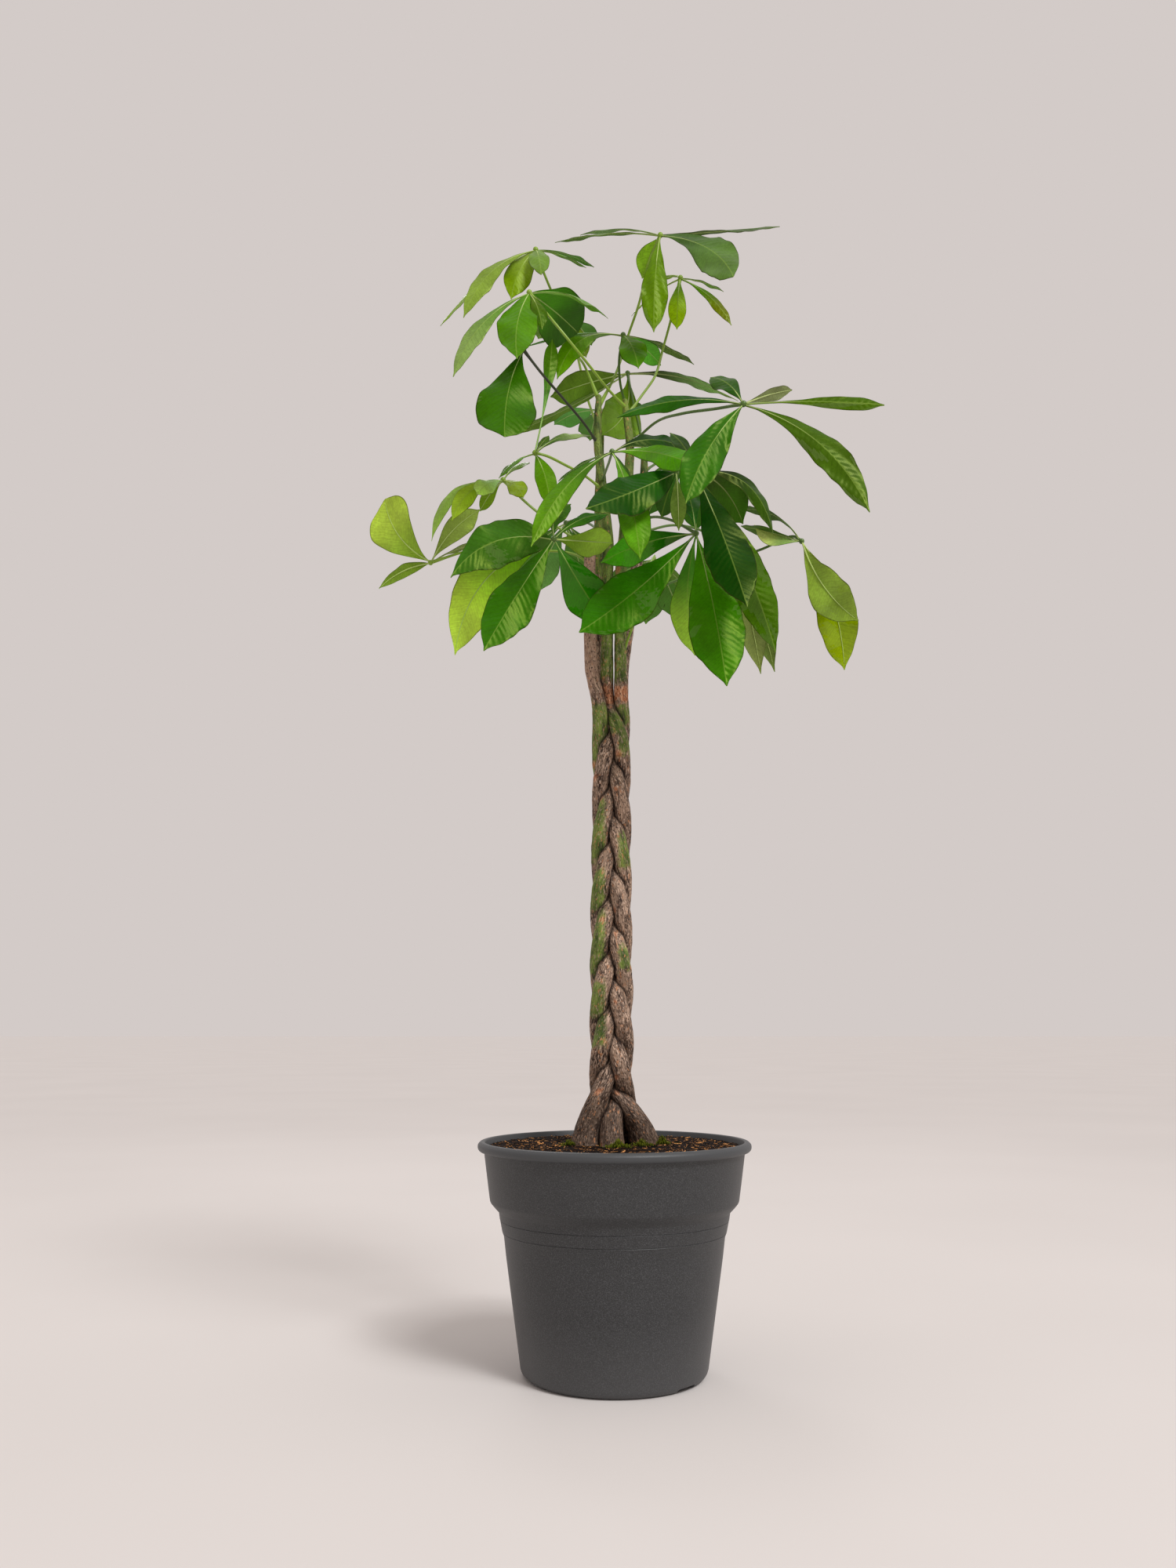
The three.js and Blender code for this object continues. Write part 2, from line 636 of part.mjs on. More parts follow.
// A leaf grows from its trunk's middle line and is cut off a seat gap clear of the bark.
function makeLeaf(leaf, sleeve) {
  const centre = trunkAt(TRUNKS[leaf.trunk], leaf.root);
  const root = new THREE.Vector3(centre.x, centre.y, leaf.root);
  const hub = new THREE.Vector3(...leaf.hub);
  const bends = leaf.bends.map((place) => new THREE.Vector3(...place));
  const knob = new THREE.OctahedronGeometry(HUB_RADIUS);
  knob.translate(hub.x, hub.y, hub.z);
  let solid = makePetiole([root, ...bends, hub]).subtract(sleeve).add(toSolid(knob));
  leaf.leaflets.forEach((leaflet, order) => {
    solid = solid.add(makeLeaflet(hub, leaflet, order));
  });
  return solid;
}

const plant = new THREE.Group();
const sleeves = {};
for (const [name, trunk] of Object.entries(TRUNKS)) {
  // Trunks that press on each other share the space: a later one gives way to those before it.
  let solid = makeTrunk(trunk, 0);
  for (const sleeve of Object.values(sleeves)) solid = solid.subtract(sleeve);
  plant.add(makePiece(name, largestBody(solid), LOOKS.bark));
  sleeves[name] = makeTrunk(trunk, SEAT_GAP);
}
for (const [name, leaf] of Object.entries(LEAVES)) {
  plant.add(makePiece(name, makeLeaf(leaf, sleeves[leaf.trunk]), LOOKS.leaf));
}

const pottedTree = new THREE.Group();
pottedTree.add(makePiece('pot', makePot(), LOOKS.pot));
pottedTree.add(makePiece('soil', makeSoil(Object.values(sleeves)), LOOKS.soil));
pottedTree.add(plant);

export default pottedTree;
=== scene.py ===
"""A potted money tree: five young trunks braided together in a dark grey nursery pot, with a crown of
hand-shaped leaves. Sizes are in millimetres, and become metres when a piece is finished."""
import random
from math import copysign, cos, exp, hypot, pi, radians, remainder, sin, sqrt

import bmesh
import bpy
from mathutils import Matrix, Vector, noise
from mathutils.geometry import interpolate_bezier


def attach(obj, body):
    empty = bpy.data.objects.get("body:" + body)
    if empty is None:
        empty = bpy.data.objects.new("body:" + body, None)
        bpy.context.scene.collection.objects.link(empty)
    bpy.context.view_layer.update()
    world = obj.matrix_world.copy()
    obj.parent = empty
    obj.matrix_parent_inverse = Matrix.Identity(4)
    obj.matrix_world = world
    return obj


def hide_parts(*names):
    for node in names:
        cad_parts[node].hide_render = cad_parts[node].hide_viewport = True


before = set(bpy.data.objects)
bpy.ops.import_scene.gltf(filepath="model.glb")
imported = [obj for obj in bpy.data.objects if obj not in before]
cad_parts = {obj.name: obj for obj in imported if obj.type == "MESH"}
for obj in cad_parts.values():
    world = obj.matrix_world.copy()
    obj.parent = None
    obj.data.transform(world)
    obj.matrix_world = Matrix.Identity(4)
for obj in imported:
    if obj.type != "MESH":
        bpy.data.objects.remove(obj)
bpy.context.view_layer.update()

# Camera
# It stands level, 0.34 m above the floor and 1.24 m in front of the trunks, so that the pot is seen from
# just above its rim and the crown from below. The lens is shifted up, so that the trunks stay upright.
CAMERA_SPOT = (-0.0261, -1.239, 0.3417)
IMAGE_HEIGHT_PX = 2000
FOCAL_LENGTH_PX = 1594
HORIZON_PX = 1313.3
SENSOR_MM = 36


def placed(name, data):
    """A new object in the scene that shows the data."""
    made = bpy.data.objects.new(name, data)
    bpy.context.scene.collection.objects.link(made)
    return made


camera_data = bpy.data.cameras.new("camera")
camera_data.sensor_width = SENSOR_MM
camera_data.lens = SENSOR_MM * FOCAL_LENGTH_PX / IMAGE_HEIGHT_PX
camera_data.shift_y = (HORIZON_PX - IMAGE_HEIGHT_PX / 2) / IMAGE_HEIGHT_PX
camera = placed("camera", camera_data)
camera.location = CAMERA_SPOT
camera.rotation_euler = (radians(90), 0, 0)
bpy.context.scene.camera = camera
bpy.context.scene.view_settings.view_transform = "Standard"

# Studio
# A plain pale floor that runs on to the horizon, under an even pale sky. A wide, soft sun stands in front on
# the right, with a lamp beside it for the leaves' gloss, and a lamp behind the crown shines through them.
MILLIMETRE = Matrix.Scale(0.001, 4)
FLOOR_SIZE = 120000
FLOOR_COLOURS = ("#cfcac7", "#d6d1ce")
SKY_COLOUR = "#d3cbc8"
SUN_HEADING = Vector((-0.55, 0.72, -1.0))
SUN_STRENGTH = 1.55
SUN_ANGLE = radians(22)
# Each lamp: where it stands, its side and its power.
LAMPS = {
    "key": ((1.1, -1.7, 2.1), 0.4, 15),
    "behind": ((-0.5, 1.9, 2.3), 0.8, 7),
}
LAMPS_AIM = Vector((0, 0, 0.72))


def linear(colour):
    """A colour such as #46484a as linear red, green, blue and alpha."""
    parts = [int(colour[i:i + 2], 16) / 255 for i in (1, 3, 5)]
    return [c / 12.92 if c <= 0.04045 else ((c + 0.055) / 1.055) ** 2.4 for c in parts] + [1.0]


def add(tree, kind, inputs=None, **settings):
    """Adds a shader node with its settings. Each input is given a value, or a link from an output or a node,
    which gives the first of its outputs that are in use."""
    made = tree.nodes.new("ShaderNode" + kind)
    for name, value in settings.items():
        setattr(made, name, value)
    for name, value in (inputs or {}).items():
        if isinstance(value, bpy.types.Node):
            value = next(output for output in value.outputs if output.enabled)
        if isinstance(value, bpy.types.NodeSocket):
            tree.links.new(value, made.inputs[name])
        else:
            made.inputs[name].default_value = value
    return made


def new_material(name):
    """A material without any nodes yet, and the tree for them."""
    material = bpy.data.materials.new(name)
    material.use_nodes = True
    material.node_tree.nodes.clear()
    return material, material.node_tree


def meshed(name, bm, *materials):
    """A new object in the scene that shows a bmesh, turned into metres, in its materials."""
    bmesh.ops.transform(bm, matrix=MILLIMETRE, verts=bm.verts)
    mesh = bpy.data.meshes.new(name)
    bm.to_mesh(mesh)
    bm.free()
    for material in materials:
        mesh.materials.append(material)
    return placed(name, mesh)


# Matt white studio board: it has no grain and hardly any gloss, only a faint unevenness of its shade.
board, tree = new_material("matt_studio_board")
place = add(tree, "TexCoord").outputs["Object"]
cloudy = add(tree, "TexNoise", {"Vector": place, "Scale": 1.5})
dull, pale = [linear(colour) for colour in FLOOR_COLOURS]
board_colour = add(tree, "Mix", {0: cloudy, 6: dull, 7: pale}, data_type="RGBA")
shader = add(tree, "BsdfPrincipled", {
    "Base Color": board_colour, "Roughness": 0.9, "Specular IOR Level": 0.1,
})
add(tree, "OutputMaterial", {"Surface": shader})

bm = bmesh.new()
bmesh.ops.create_grid(bm, x_segments=1, y_segments=1, size=FLOOR_SIZE / 2)
floor = meshed("studio_floor", bm, board)

world = bpy.data.worlds.new("sky")
world.use_nodes = True
world.node_tree.nodes["Background"].inputs["Color"].default_value = linear(SKY_COLOUR)
bpy.context.scene.world = world
sun_data = bpy.data.lights.new("sun", "SUN")
sun_data.energy = SUN_STRENGTH
sun_data.angle = SUN_ANGLE
sun = placed("sun", sun_data)
sun.rotation_euler = SUN_HEADING.to_track_quat("-Z", "Y").to_euler()
for name, (spot, size, power) in LAMPS.items():
    lamp_data = bpy.data.lights.new(name, "AREA")
    lamp_data.size = size
    lamp_data.energy = power
    lamp = placed(name, lamp_data)
    lamp.location = spot
    lamp.rotation_euler = (LAMPS_AIM - Vector(spot)).to_track_quat("-Z", "Y").to_euler()

# Nursery pot
# One injection moulding in dark grey polypropylene: a tapered wall with a wider upper band, two ring lines,
# a rolled rim, drain holes in its base and drain notches at its foot.
POT_STEPS = 144
POT_WALL = 2.5
POT_FLOOR = 4
# The outside of the wall and the rim, from the foot up, as radius and height.
POT_OUTLINE = [
    (84, 0), (89, 1.5), (92, 5), (93.2, 9), (107.1, 118.6), (109.3, 139.2), (110.6, 142.4), (110.3, 142.9),
    (110.9, 143.4), (113.0, 154.7), (112.7, 155.1), (113.3, 155.6), (114.2, 162.2), (114.6, 163.3),
    (119.3, 168.4), (122.9, 173), (125.7, 196), (128.8, 222.5),
]
POT_RIM = [(133, 222.5), (135, 225), (135, 229), (132, 232), (128, 232)]
POT_INSIDE_HEIGHTS = [223, 176, 163, 119, 9]
FOOT_CORNERS = 3
SHOULDER_HEIGHTS = (168, 174)
# How far each rounding reaches from its corner, and its number of facets.
RIM_ROUNDING = (1.3, 4)
SHOULDER_ROUNDING = (1.6, 3)
NOTCH_ROUNDING = (2.4, 4)
HOLES = 6
HOLE_SIDES = 32
HOLE_RADIUS = 6
HOLE_RING = 62
NOTCH_BEARINGS = [-42, 78, 198]
NOTCH_SIZE = (12, 26, 10)
NOTCH_RING = 90
PARALLEL = 0.9
SKIN_WELD = 0.01
SHARP_ANGLE = radians(35)


def mix(a, b, share):
    return a + (b - a) * share


def finished(name, bm, materials, slot, *replaced):
    """A bmesh in millimetres becomes a piece in metres that rides on the plant's one body."""
    piece = meshed(name, bm, *materials)
    piece.data.shade_smooth()
    piece.data.set_sharp_from_angle(angle=SHARP_ANGLE)
    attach(piece, "root")
    if replaced:
        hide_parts(*replaced)
    return piece


def wall_radius(height):
    """The radius of the inside of the pot's wall at a height."""
    for (low_radius, low), (high_radius, high) in zip(POT_OUTLINE, POT_OUTLINE[1:]):
        if height <= high:
            break
    return mix(low_radius, high_radius, min((height - low) / (high - low), 1)) - POT_WALL


def profile(bm, points):
    """A chain of (radius, height) points, joined by edges, that starts and ends on the axis."""
    chain = [bm.verts.new((radius, 0, height)) for radius, height in points]
    for pair in zip(chain, chain[1:]):
        bm.edges.new(pair)
    return chain


def round_off(bm, corners, rounding, kind):
    """Rounds corners off, by a reach and a number of facets."""
    bmesh.ops.bevel(
        bm, geom=corners, offset=rounding[0], segments=rounding[1], affect=kind, profile=0.5, material=-1
    )


def revolve(bm, steps):
    """Turns the profile in a bmesh once round the upright axis, into a closed skin."""
    bmesh.ops.spin(
        bm, geom=bm.verts[:] + bm.edges[:], axis=(0, 0, 1), cent=(0, 0, 0), angle=2 * pi, steps=steps,
        use_merge=True,
    )
    bmesh.ops.remove_doubles(bm, verts=bm.verts, dist=SKIN_WELD)
    bmesh.ops.recalc_face_normals(bm, faces=bm.faces)


# Polypropylene moulded in a spark-grained tool: dark grey and matt, with a fine pebbled grain, faint flow
# clouds and paler flecks. It is painted paler near its foot, as light bounced up from the floor, and its rim
# is painted paler as a highlight.
plastic, tree = new_material("grained_polypropylene")
place = add(tree, "TexCoord").outputs["Object"]
height = add(tree, "SeparateXYZ", {0: place}).outputs["Z"]
grain = add(tree, "TexNoise", {"Vector": place, "Scale": 1100})
clouds = add(tree, "TexNoise", {"Vector": place, "Scale": 9, "Detail": 3})
shade = add(tree, "Mix", {0: clouds, 6: linear("#242526"), 7: linear("#2c2d2e")}, data_type="RGBA")
fleck = add(tree, "MapRange", {"Value": grain, "From Min": 0.45, "From Max": 0.75})
# Painted light: the pot turns paler towards its foot, as if lit from the floor below.
foot_bounce_light = add(tree, "MapRange", {"Value": height, "From Max": 0.075, "To Min": 0.3, "To Max": 0})
# Painted highlight: the rolled rim, from its lower edge up, is painted paler, as if it caught the light.
rim_highlight = add(tree, "MapRange", {"Value": height, "From Min": 0.2215, "From Max": 0.2235})
for share, over in ((fleck, "#4a4b4d"), (foot_bounce_light, "#626263"), (rim_highlight, "#3e4042")):
    shade = add(tree, "Mix", {0: share, 6: shade, 7: linear(over)}, data_type="RGBA")
rough = add(tree, "MapRange", {"Value": grain, "To Min": 0.4, "To Max": 0.56})
pebbled = add(tree, "Bump", {"Height": grain, "Strength": 0.4, "Distance": 0.0004})
shader = add(tree, "BsdfPrincipled", {
    "Base Color": shade, "Roughness": rough, "IOR": 1.49, "Normal": pebbled,
})
add(tree, "OutputMaterial", {"Surface": shader})

bm = bmesh.new()
inside = [(wall_radius(height), height) for height in POT_INSIDE_HEIGHTS]
outline = [(0, 0)] + POT_OUTLINE + POT_RIM + inside + [(wall_radius(POT_FLOOR), POT_FLOOR), (0, POT_FLOOR)]
chain = profile(bm, outline)
rim_height = POT_RIM[0][1]
rim_and_foot = [v for v in chain if v.co.z >= rim_height] + chain[1:FOOT_CORNERS + 1]
shoulder = [v for v in chain if SHOULDER_HEIGHTS[0] < v.co.z < SHOULDER_HEIGHTS[1]]
round_off(bm, rim_and_foot, RIM_ROUNDING, "VERTICES")
round_off(bm, shoulder, SHOULDER_ROUNDING, "VERTICES")
revolve(bm, POT_STEPS)
pot = finished("nursery_pot", bm, [plastic], "pot_plastic", "pot")

bm = bmesh.new()
for hole in range(HOLES):
    turn = Matrix.Rotation((hole + 0.5) * 2 * pi / HOLES, 4, "Z")
    bmesh.ops.create_cone(
        bm, cap_ends=True, segments=HOLE_SIDES, radius1=HOLE_RADIUS, radius2=HOLE_RADIUS,
        depth=3 * POT_FLOOR, matrix=turn @ Matrix.Translation((HOLE_RING, 0, 0)),
    )
for bearing in NOTCH_BEARINGS:
    turn = Matrix.Rotation(radians(bearing), 4, "Z")
    size = Matrix.Diagonal((*NOTCH_SIZE, 1))
    outward = turn @ Vector((1, 0, 0))
    block = set(bmesh.ops.create_cube(
        bm, size=1, matrix=Matrix.Translation(NOTCH_RING * outward) @ turn @ size
    )["verts"])
    corners = [
        e for e in bm.edges if block.issuperset(e.verts) and e.verts[0].co.z > 0
        and abs((e.verts[0].co - e.verts[1].co).normalized().dot(outward)) > PARALLEL
    ]
    round_off(bm, corners, NOTCH_ROUNDING, "EDGES")
cutter = meshed("drain_cutter", bm)
cut = pot.modifiers.new("drains", "BOOLEAN")
cut.object = cutter
cut.operation = "DIFFERENCE"
cut.solver = "EXACT"
drained = bpy.data.meshes.new_from_object(pot.evaluated_get(bpy.context.evaluated_depsgraph_get()))
pot.modifiers.clear()
pot.data = drained
drained.shade_smooth()
drained.set_sharp_from_angle(angle=SHARP_ANGLE)
bpy.data.objects.remove(cutter)

# Potting mix
# Moist peat with coir fibre and composted bark, pressed round the roots. It fills the pot to just under its
# rim, crumbly and nearly black, with loose fibres and chips of bark that lie on top and catch the light.
SOIL_TOP = 228
SOIL_GAP = 0.35
SOIL_WALL_HEIGHTS = [9, 119, 163, 176, 224]
SOIL_TOP_INSET = 1
SOIL_RINGS = 46
SOIL_STEPS = 150
SOIL_HEAP = 1.6
SOIL_DIP = 1.5
# The sizes and heights of the crumbs, and the level at which their noise is cut.
SOIL_CRUMBS = ((9, 1.2), (3.4, 0.9))
CRUMB_LEVEL = 7
FIBRES = 1100
FIBRE_LENGTHS = (2, 9)
FIBRE_RADIUS = 0.34
FIBRE_THICKNESSES = (0.6, 1.6)
FIBRE_STEPS = 4
FIBRE_SIDES = 3
FIBRE_TILT = 0.35
FIBRE_CURL = 0.06
FIBRE_LIFT = 0.3
FIBRE_SAG = 0.01
FIBRE_TONE = 2.2
FIBRE_MARGIN = 2
CHIPS = 300
CHIP_SIZES = (1.6, 4.6)
CHIP_WIDTHS = (0.4, 0.8)
CHIP_THICKNESS = 0.3
CHIP_TURN = 6.3
CHIP_TILT = 0.5
CHIP_LIFT = 0.2
CHIP_DENTS = (0.14, 1.7)
CHIP_TONE = (0.75, 2)
CHIP_MARGIN = 6
TUBE_WELD = 0.001
SOIL_SEED = 11


def soil_height(x, y):
    """The height of the crumbly top of the soil."""
    reach = hypot(x, y) / wall_radius(SOIL_TOP)
    crumbs = sum(depth * noise.noise(Vector((x, y, CRUMB_LEVEL)) / size) for size, depth in SOIL_CRUMBS)
    return SOIL_TOP + SOIL_HEAP * (1 - reach ** 4) - SOIL_DIP + crumbs


# Peat and composted bark: crumbs from black to dark brown, quite without gloss, with paler wood among them.
peat, tree = new_material("moist_peat_and_bark")
place = add(tree, "TexCoord").outputs["Object"]
crumb = add(tree, "TexNoise", {"Vector": place, "Scale": 420, "Detail": 4, "Roughness": 0.7})
clump = add(tree, "TexVoronoi", {"Vector": place, "Scale": 260})
dark = add(tree, "Mix", {0: clump, 6: linear("#060403"), 7: linear("#170c07")}, data_type="RGBA")
pale = add(tree, "MapRange", {"Value": crumb, "From Min": 0.58, "From Max": 0.68})
woody = add(tree, "Mix", {0: pale, 6: dark, 7: linear("#4a230d")}, data_type="RGBA")
lumpy = add(tree, "Bump", {"Height": crumb, "Strength": 0.9, "Distance": 0.001})
shader = add(tree, "BsdfPrincipled", {
    "Base Color": woody, "Roughness": 0.92, "Specular IOR Level": 0.1, "Normal": lumpy,
})
add(tree, "OutputMaterial", {"Surface": shader})

bm = bmesh.new()
bottom = POT_FLOOR + SOIL_GAP
side = [(wall_radius(height) - SOIL_GAP, height) for height in [bottom] + SOIL_WALL_HEIGHTS]
top_radius = wall_radius(SOIL_TOP) - SOIL_GAP - SOIL_TOP_INSET
surface = [(top_radius * (1 - ring / SOIL_RINGS), SOIL_TOP) for ring in range(SOIL_RINGS + 1)]
profile(bm, [(0, bottom)] + side + surface)
revolve(bm, SOIL_STEPS)
for corner in bm.verts:
    if corner.co.z > SOIL_TOP - SKIN_WELD:
        corner.co.z = soil_height(corner.co.x, corner.co.y)
finished("root_ball", bm, [peat], "potting_soil", "soil")

# Coir and bark: orange-brown fibres and chips with dark strips, each piece lighter or darker than the next.
coir, tree = new_material("coir_and_bark_chips")
shade = add(tree, "Attribute", attribute_name="shade").outputs["Fac"]
place = add(tree, "TexCoord").outputs["Object"]
strip = add(tree, "TexNoise", {"Vector": place, "Scale": 600})
wood = add(tree, "Mix", {0: shade, 6: linear("#0d0603"), 7: linear("#fab06a")}, data_type="RGBA")
strip_share = add(tree, "MapRange", {"Value": strip, "From Min": 0.4, "From Max": 0.55})
coir_colour = add(tree, "Mix", {0: strip_share, 6: linear("#0c0503"), 7: wood}, data_type="RGBA")
shader = add(tree, "BsdfPrincipled", {"Base Color": coir_colour, "Roughness": 0.7, "Specular IOR Level": 0.2})
add(tree, "OutputMaterial", {"Surface": shader})

# The draws for the soil and the moss start from this seed, and so does the noise that dents the chips.
draw = random.Random(SOIL_SEED)
noise.seed_set(SOIL_SEED)
bm = bmesh.new()
shade_layer = bm.verts.layers.float.new("shade")


def wrapped(bm, sides, rings, place):
    """A grid rolled into a closed tube: place(corner, share round it, ring) moves each corner, and its two
    end rings, drawn in to a point, close it. Returns its vertices."""
    made = bmesh.ops.create_grid(
        bm, x_segments=sides, y_segments=rings - 1, size=0.5, matrix=Matrix.Translation((0.5, 0.5, 0))
    )["verts"]
    for corner in made:
        place(corner, corner.co.x, round(corner.co.y * (rings - 1)))
    joined = bmesh.ops.find_doubles(bm, verts=made, dist=TUBE_WELD)["targetmap"]
    bmesh.ops.weld_verts(bm, targetmap=joined)
    return [corner for corner in made if corner.is_valid]


def square_to(run, direction):
    """The part of a direction that stands square to a run."""
    direction = Vector(direction)
    return (direction - run * direction.dot(run)).normalized()


def tube(bm, route, radii, sides):
    """A thin tube along a route of places, closed to a point at both ends. Returns its vertices."""
    frames = []
    across = None
    for i, here in enumerate(route):
        along = (route[min(i + 1, len(route) - 1)] - route[max(i - 1, 0)]).normalized()
        across = square_to(along, across or along.orthogonal())
        frames.append((here, across, along.cross(across)))

    def tube_place(corner, round_share, ring):
        here, x, y = frames[min(max(ring - 1, 0), len(frames) - 1)]
        angle = 2 * pi * round_share
        radius = 0 if ring in (0, len(frames) + 1) else radii[ring - 1]
        corner.co = here + radius * (x * cos(angle) + y * sin(angle))

    return wrapped(bm, sides, len(frames) + 2, tube_place)


def somewhere_on_soil(margin):
    """A random spot on the soil, even over its area and clear of the wall."""
    reach = (wall_radius(SOIL_TOP) - margin) * sqrt(draw.random())
    bearing = draw.uniform(0, 2 * pi)
    x, y = reach * cos(bearing), reach * sin(bearing)
    return Vector((x, y, soil_height(x, y)))


for _ in range(FIBRES):
    length = draw.uniform(*FIBRE_LENGTHS)
    spot = somewhere_on_soil(length / 2 + FIBRE_MARGIN)
    heading = Matrix.Rotation(draw.uniform(0, 2 * pi), 3, "Z")
    tilt = draw.uniform(-FIBRE_TILT, FIBRE_TILT)
    curl = draw.uniform(-FIBRE_CURL, FIBRE_CURL)
    tone = draw.random() ** FIBRE_TONE
    radius = FIBRE_RADIUS * draw.uniform(*FIBRE_THICKNESSES)
    route = []
    for step in range(FIBRE_STEPS + 1):
        x = length * (step / FIBRE_STEPS - 0.5)
        route.append(spot + heading @ Vector((x, curl * x * x, FIBRE_LIFT + tilt * x - FIBRE_SAG * x * x)))
    for corner in tube(bm, route, [radius] * len(route), FIBRE_SIDES):
        corner[shade_layer] = tone
finished("coir_fibres", bm, [coir], "potting_soil")

bm = bmesh.new()
shade_layer = bm.verts.layers.float.new("shade")
for _ in range(CHIPS):
    spot = somewhere_on_soil(CHIP_MARGIN) + Vector((0, 0, CHIP_LIFT))
    size = draw.uniform(*CHIP_SIZES)
    tone = CHIP_TONE[0] * draw.random() ** CHIP_TONE[1]
    turn = Matrix.Rotation(draw.uniform(0, CHIP_TURN), 4, "Z")
    tilt = Matrix.Rotation(draw.uniform(-CHIP_TILT, CHIP_TILT), 4, "X")
    shape = Matrix.Diagonal((size, size * draw.uniform(*CHIP_WIDTHS), size * CHIP_THICKNESS, 1))
    flake = bmesh.ops.create_icosphere(
        bm, subdivisions=1, radius=0.5, matrix=Matrix.Translation(spot) @ turn @ tilt @ shape
    )["verts"]
    for corner in flake:
        corner.co += CHIP_DENTS[0] * size * noise.noise_vector(corner.co * CHIP_DENTS[1])
        corner[shade_layer] = tone
finished("bark_chips", bm, [coir], "potting_soil")

# Moss
# Small cushions of living moss that have settled on the soil against the feet of the trunks: each is a tuft
# of short upright shoots. They climb a little way up the bark.
MOSS_SPREAD = (0.5, 0.3)
MOSS_SHOOT = (1.6, 3.6)
MOSS_LEAN = ((-0.5, 0.5), (-0.8, 0.2))
MOSS_TONES = (0.35, 1)
# Where a shoot starts, bends and ends, as shares of its length, and its radius there.
MOSS_FORM = ((-0.3, 0.42), (0.5, 0.42), (1, 0.168))
MOSS_SIDES = 4
# Each tuft: x, y, how wide it spreads, how far it climbs and its number of shoots.
MOSS_TUFTS = ((3, -37, 11, 7, 240), (27, -17, 9, 6, 150), (47, -3, 8, 9, 150), (-45, -17, 8, 5, 110))

# Moss: soft and dull, yellow-green at the tips of its shoots and dark olive down in the cushion.
moss, tree = new_material("cushion_moss")
tip_part = add(tree, "Attribute", attribute_name="shade").outputs["Fac"]
moss_colour = add(tree, "Mix", {0: tip_part, 6: linear("#262c06"), 7: linear("#858f1e")}, data_type="RGBA")
shader = add(tree, "BsdfPrincipled", {
    "Base Color": moss_colour, "Roughness": 0.9, "Specular IOR Level": 0.15,
})
add(tree, "OutputMaterial", {"Surface": shader})

bm = bmesh.new()
shade_layer = bm.verts.layers.float.new("shade")
for tuft_x, tuft_y, spread, climb, shoots in MOSS_TUFTS:
    for _ in range(shoots):
        across, along = [draw.gauss(0, share) * spread for share in MOSS_SPREAD]
        spot = Vector((tuft_x + across, tuft_y + along, 0))
        nearness = exp(-(across ** 2 + along ** 2) / (spread / 2) ** 2)
        spot.z = soil_height(spot.x, spot.y) + climb * nearness * draw.random()
        lean = Vector([draw.uniform(*limits) for limits in MOSS_LEAN] + [1]).normalized()
        length = draw.uniform(*MOSS_SHOOT)
        tone = draw.uniform(*MOSS_TONES)
        steps = [spot + lean * length * share for share, _ in MOSS_FORM]
        for corner in tube(bm, steps, [radius for _, radius in MOSS_FORM], MOSS_SIDES):
            corner[shade_layer] = tone * min(max((corner.co - spot).dot(lean) / length, 0), 1)
finished("moss_cushions", bm, [moss], "potting_soil")

# Five trunks
# Young money trees, one stem each, planted in a ring and braided while soft. The bark is thin and speckled,
# green where it is youngest, with corky pink and orange scars where side shoots were cut away.
TRUNK_FOOT = 188
TRUNK_GATHERS = 218
BRAID_STRANDS = 5
BRAID_START = 300
BRAID_END = 630
BRAID_TURN = 270
BRAID_PHASE_HEIGHT = 311
BRAID_CENTRE = -3
BRAID_HALF_WIDTH = 11.6
BRAID_HALF_DEPTH = 12.5
BRAID_STRAND_RADIUS = 7.6
BRAID_BASE_SWELL = 1.4
PARTING_LENGTH = 70
CROWN_SMOOTHING = 9
TRUNK_SIDES = 36
RING_SPACING = 2.2
BARK_LUMPS = ((30, 0.6), (9, 0.3), (3.2, 0.2))
BARK_SHARES = ("green", "scar", "pink", "crease_shade", "old")
TRUNKS_APART = 1000
TRUNK_SEED = 100
SCAR_MARGINS = (12, 20)
SCAR_SPACING = (22, 60)
SCAR_SIZES = (2, 4.6)
SCAR_REACH = 2
SCAR_HEIGHT = 0.16
SCAR_DISH = (0.8, 2.4)
CORKY_FADE = 3
GREEN_FADE = 7
FRINGE_SIZE = 4
BRAID_FRINGE = 0.4
BRAID_GREEN_FROM = (4, 9.5)
YOUNG_STEM = (730, 800)
OLD_SHARE = 0.65
OLD_STEM = (240, 340)
PINK_SHARE = 0.5
# How dark the painted shade in the creases between trunks gets, and how far from a neighbour it reaches.
CREASE_SHADE_SHARE = 0.9
CREASE_WIDTH = 3.6
TALLEST_TRUNK = 990
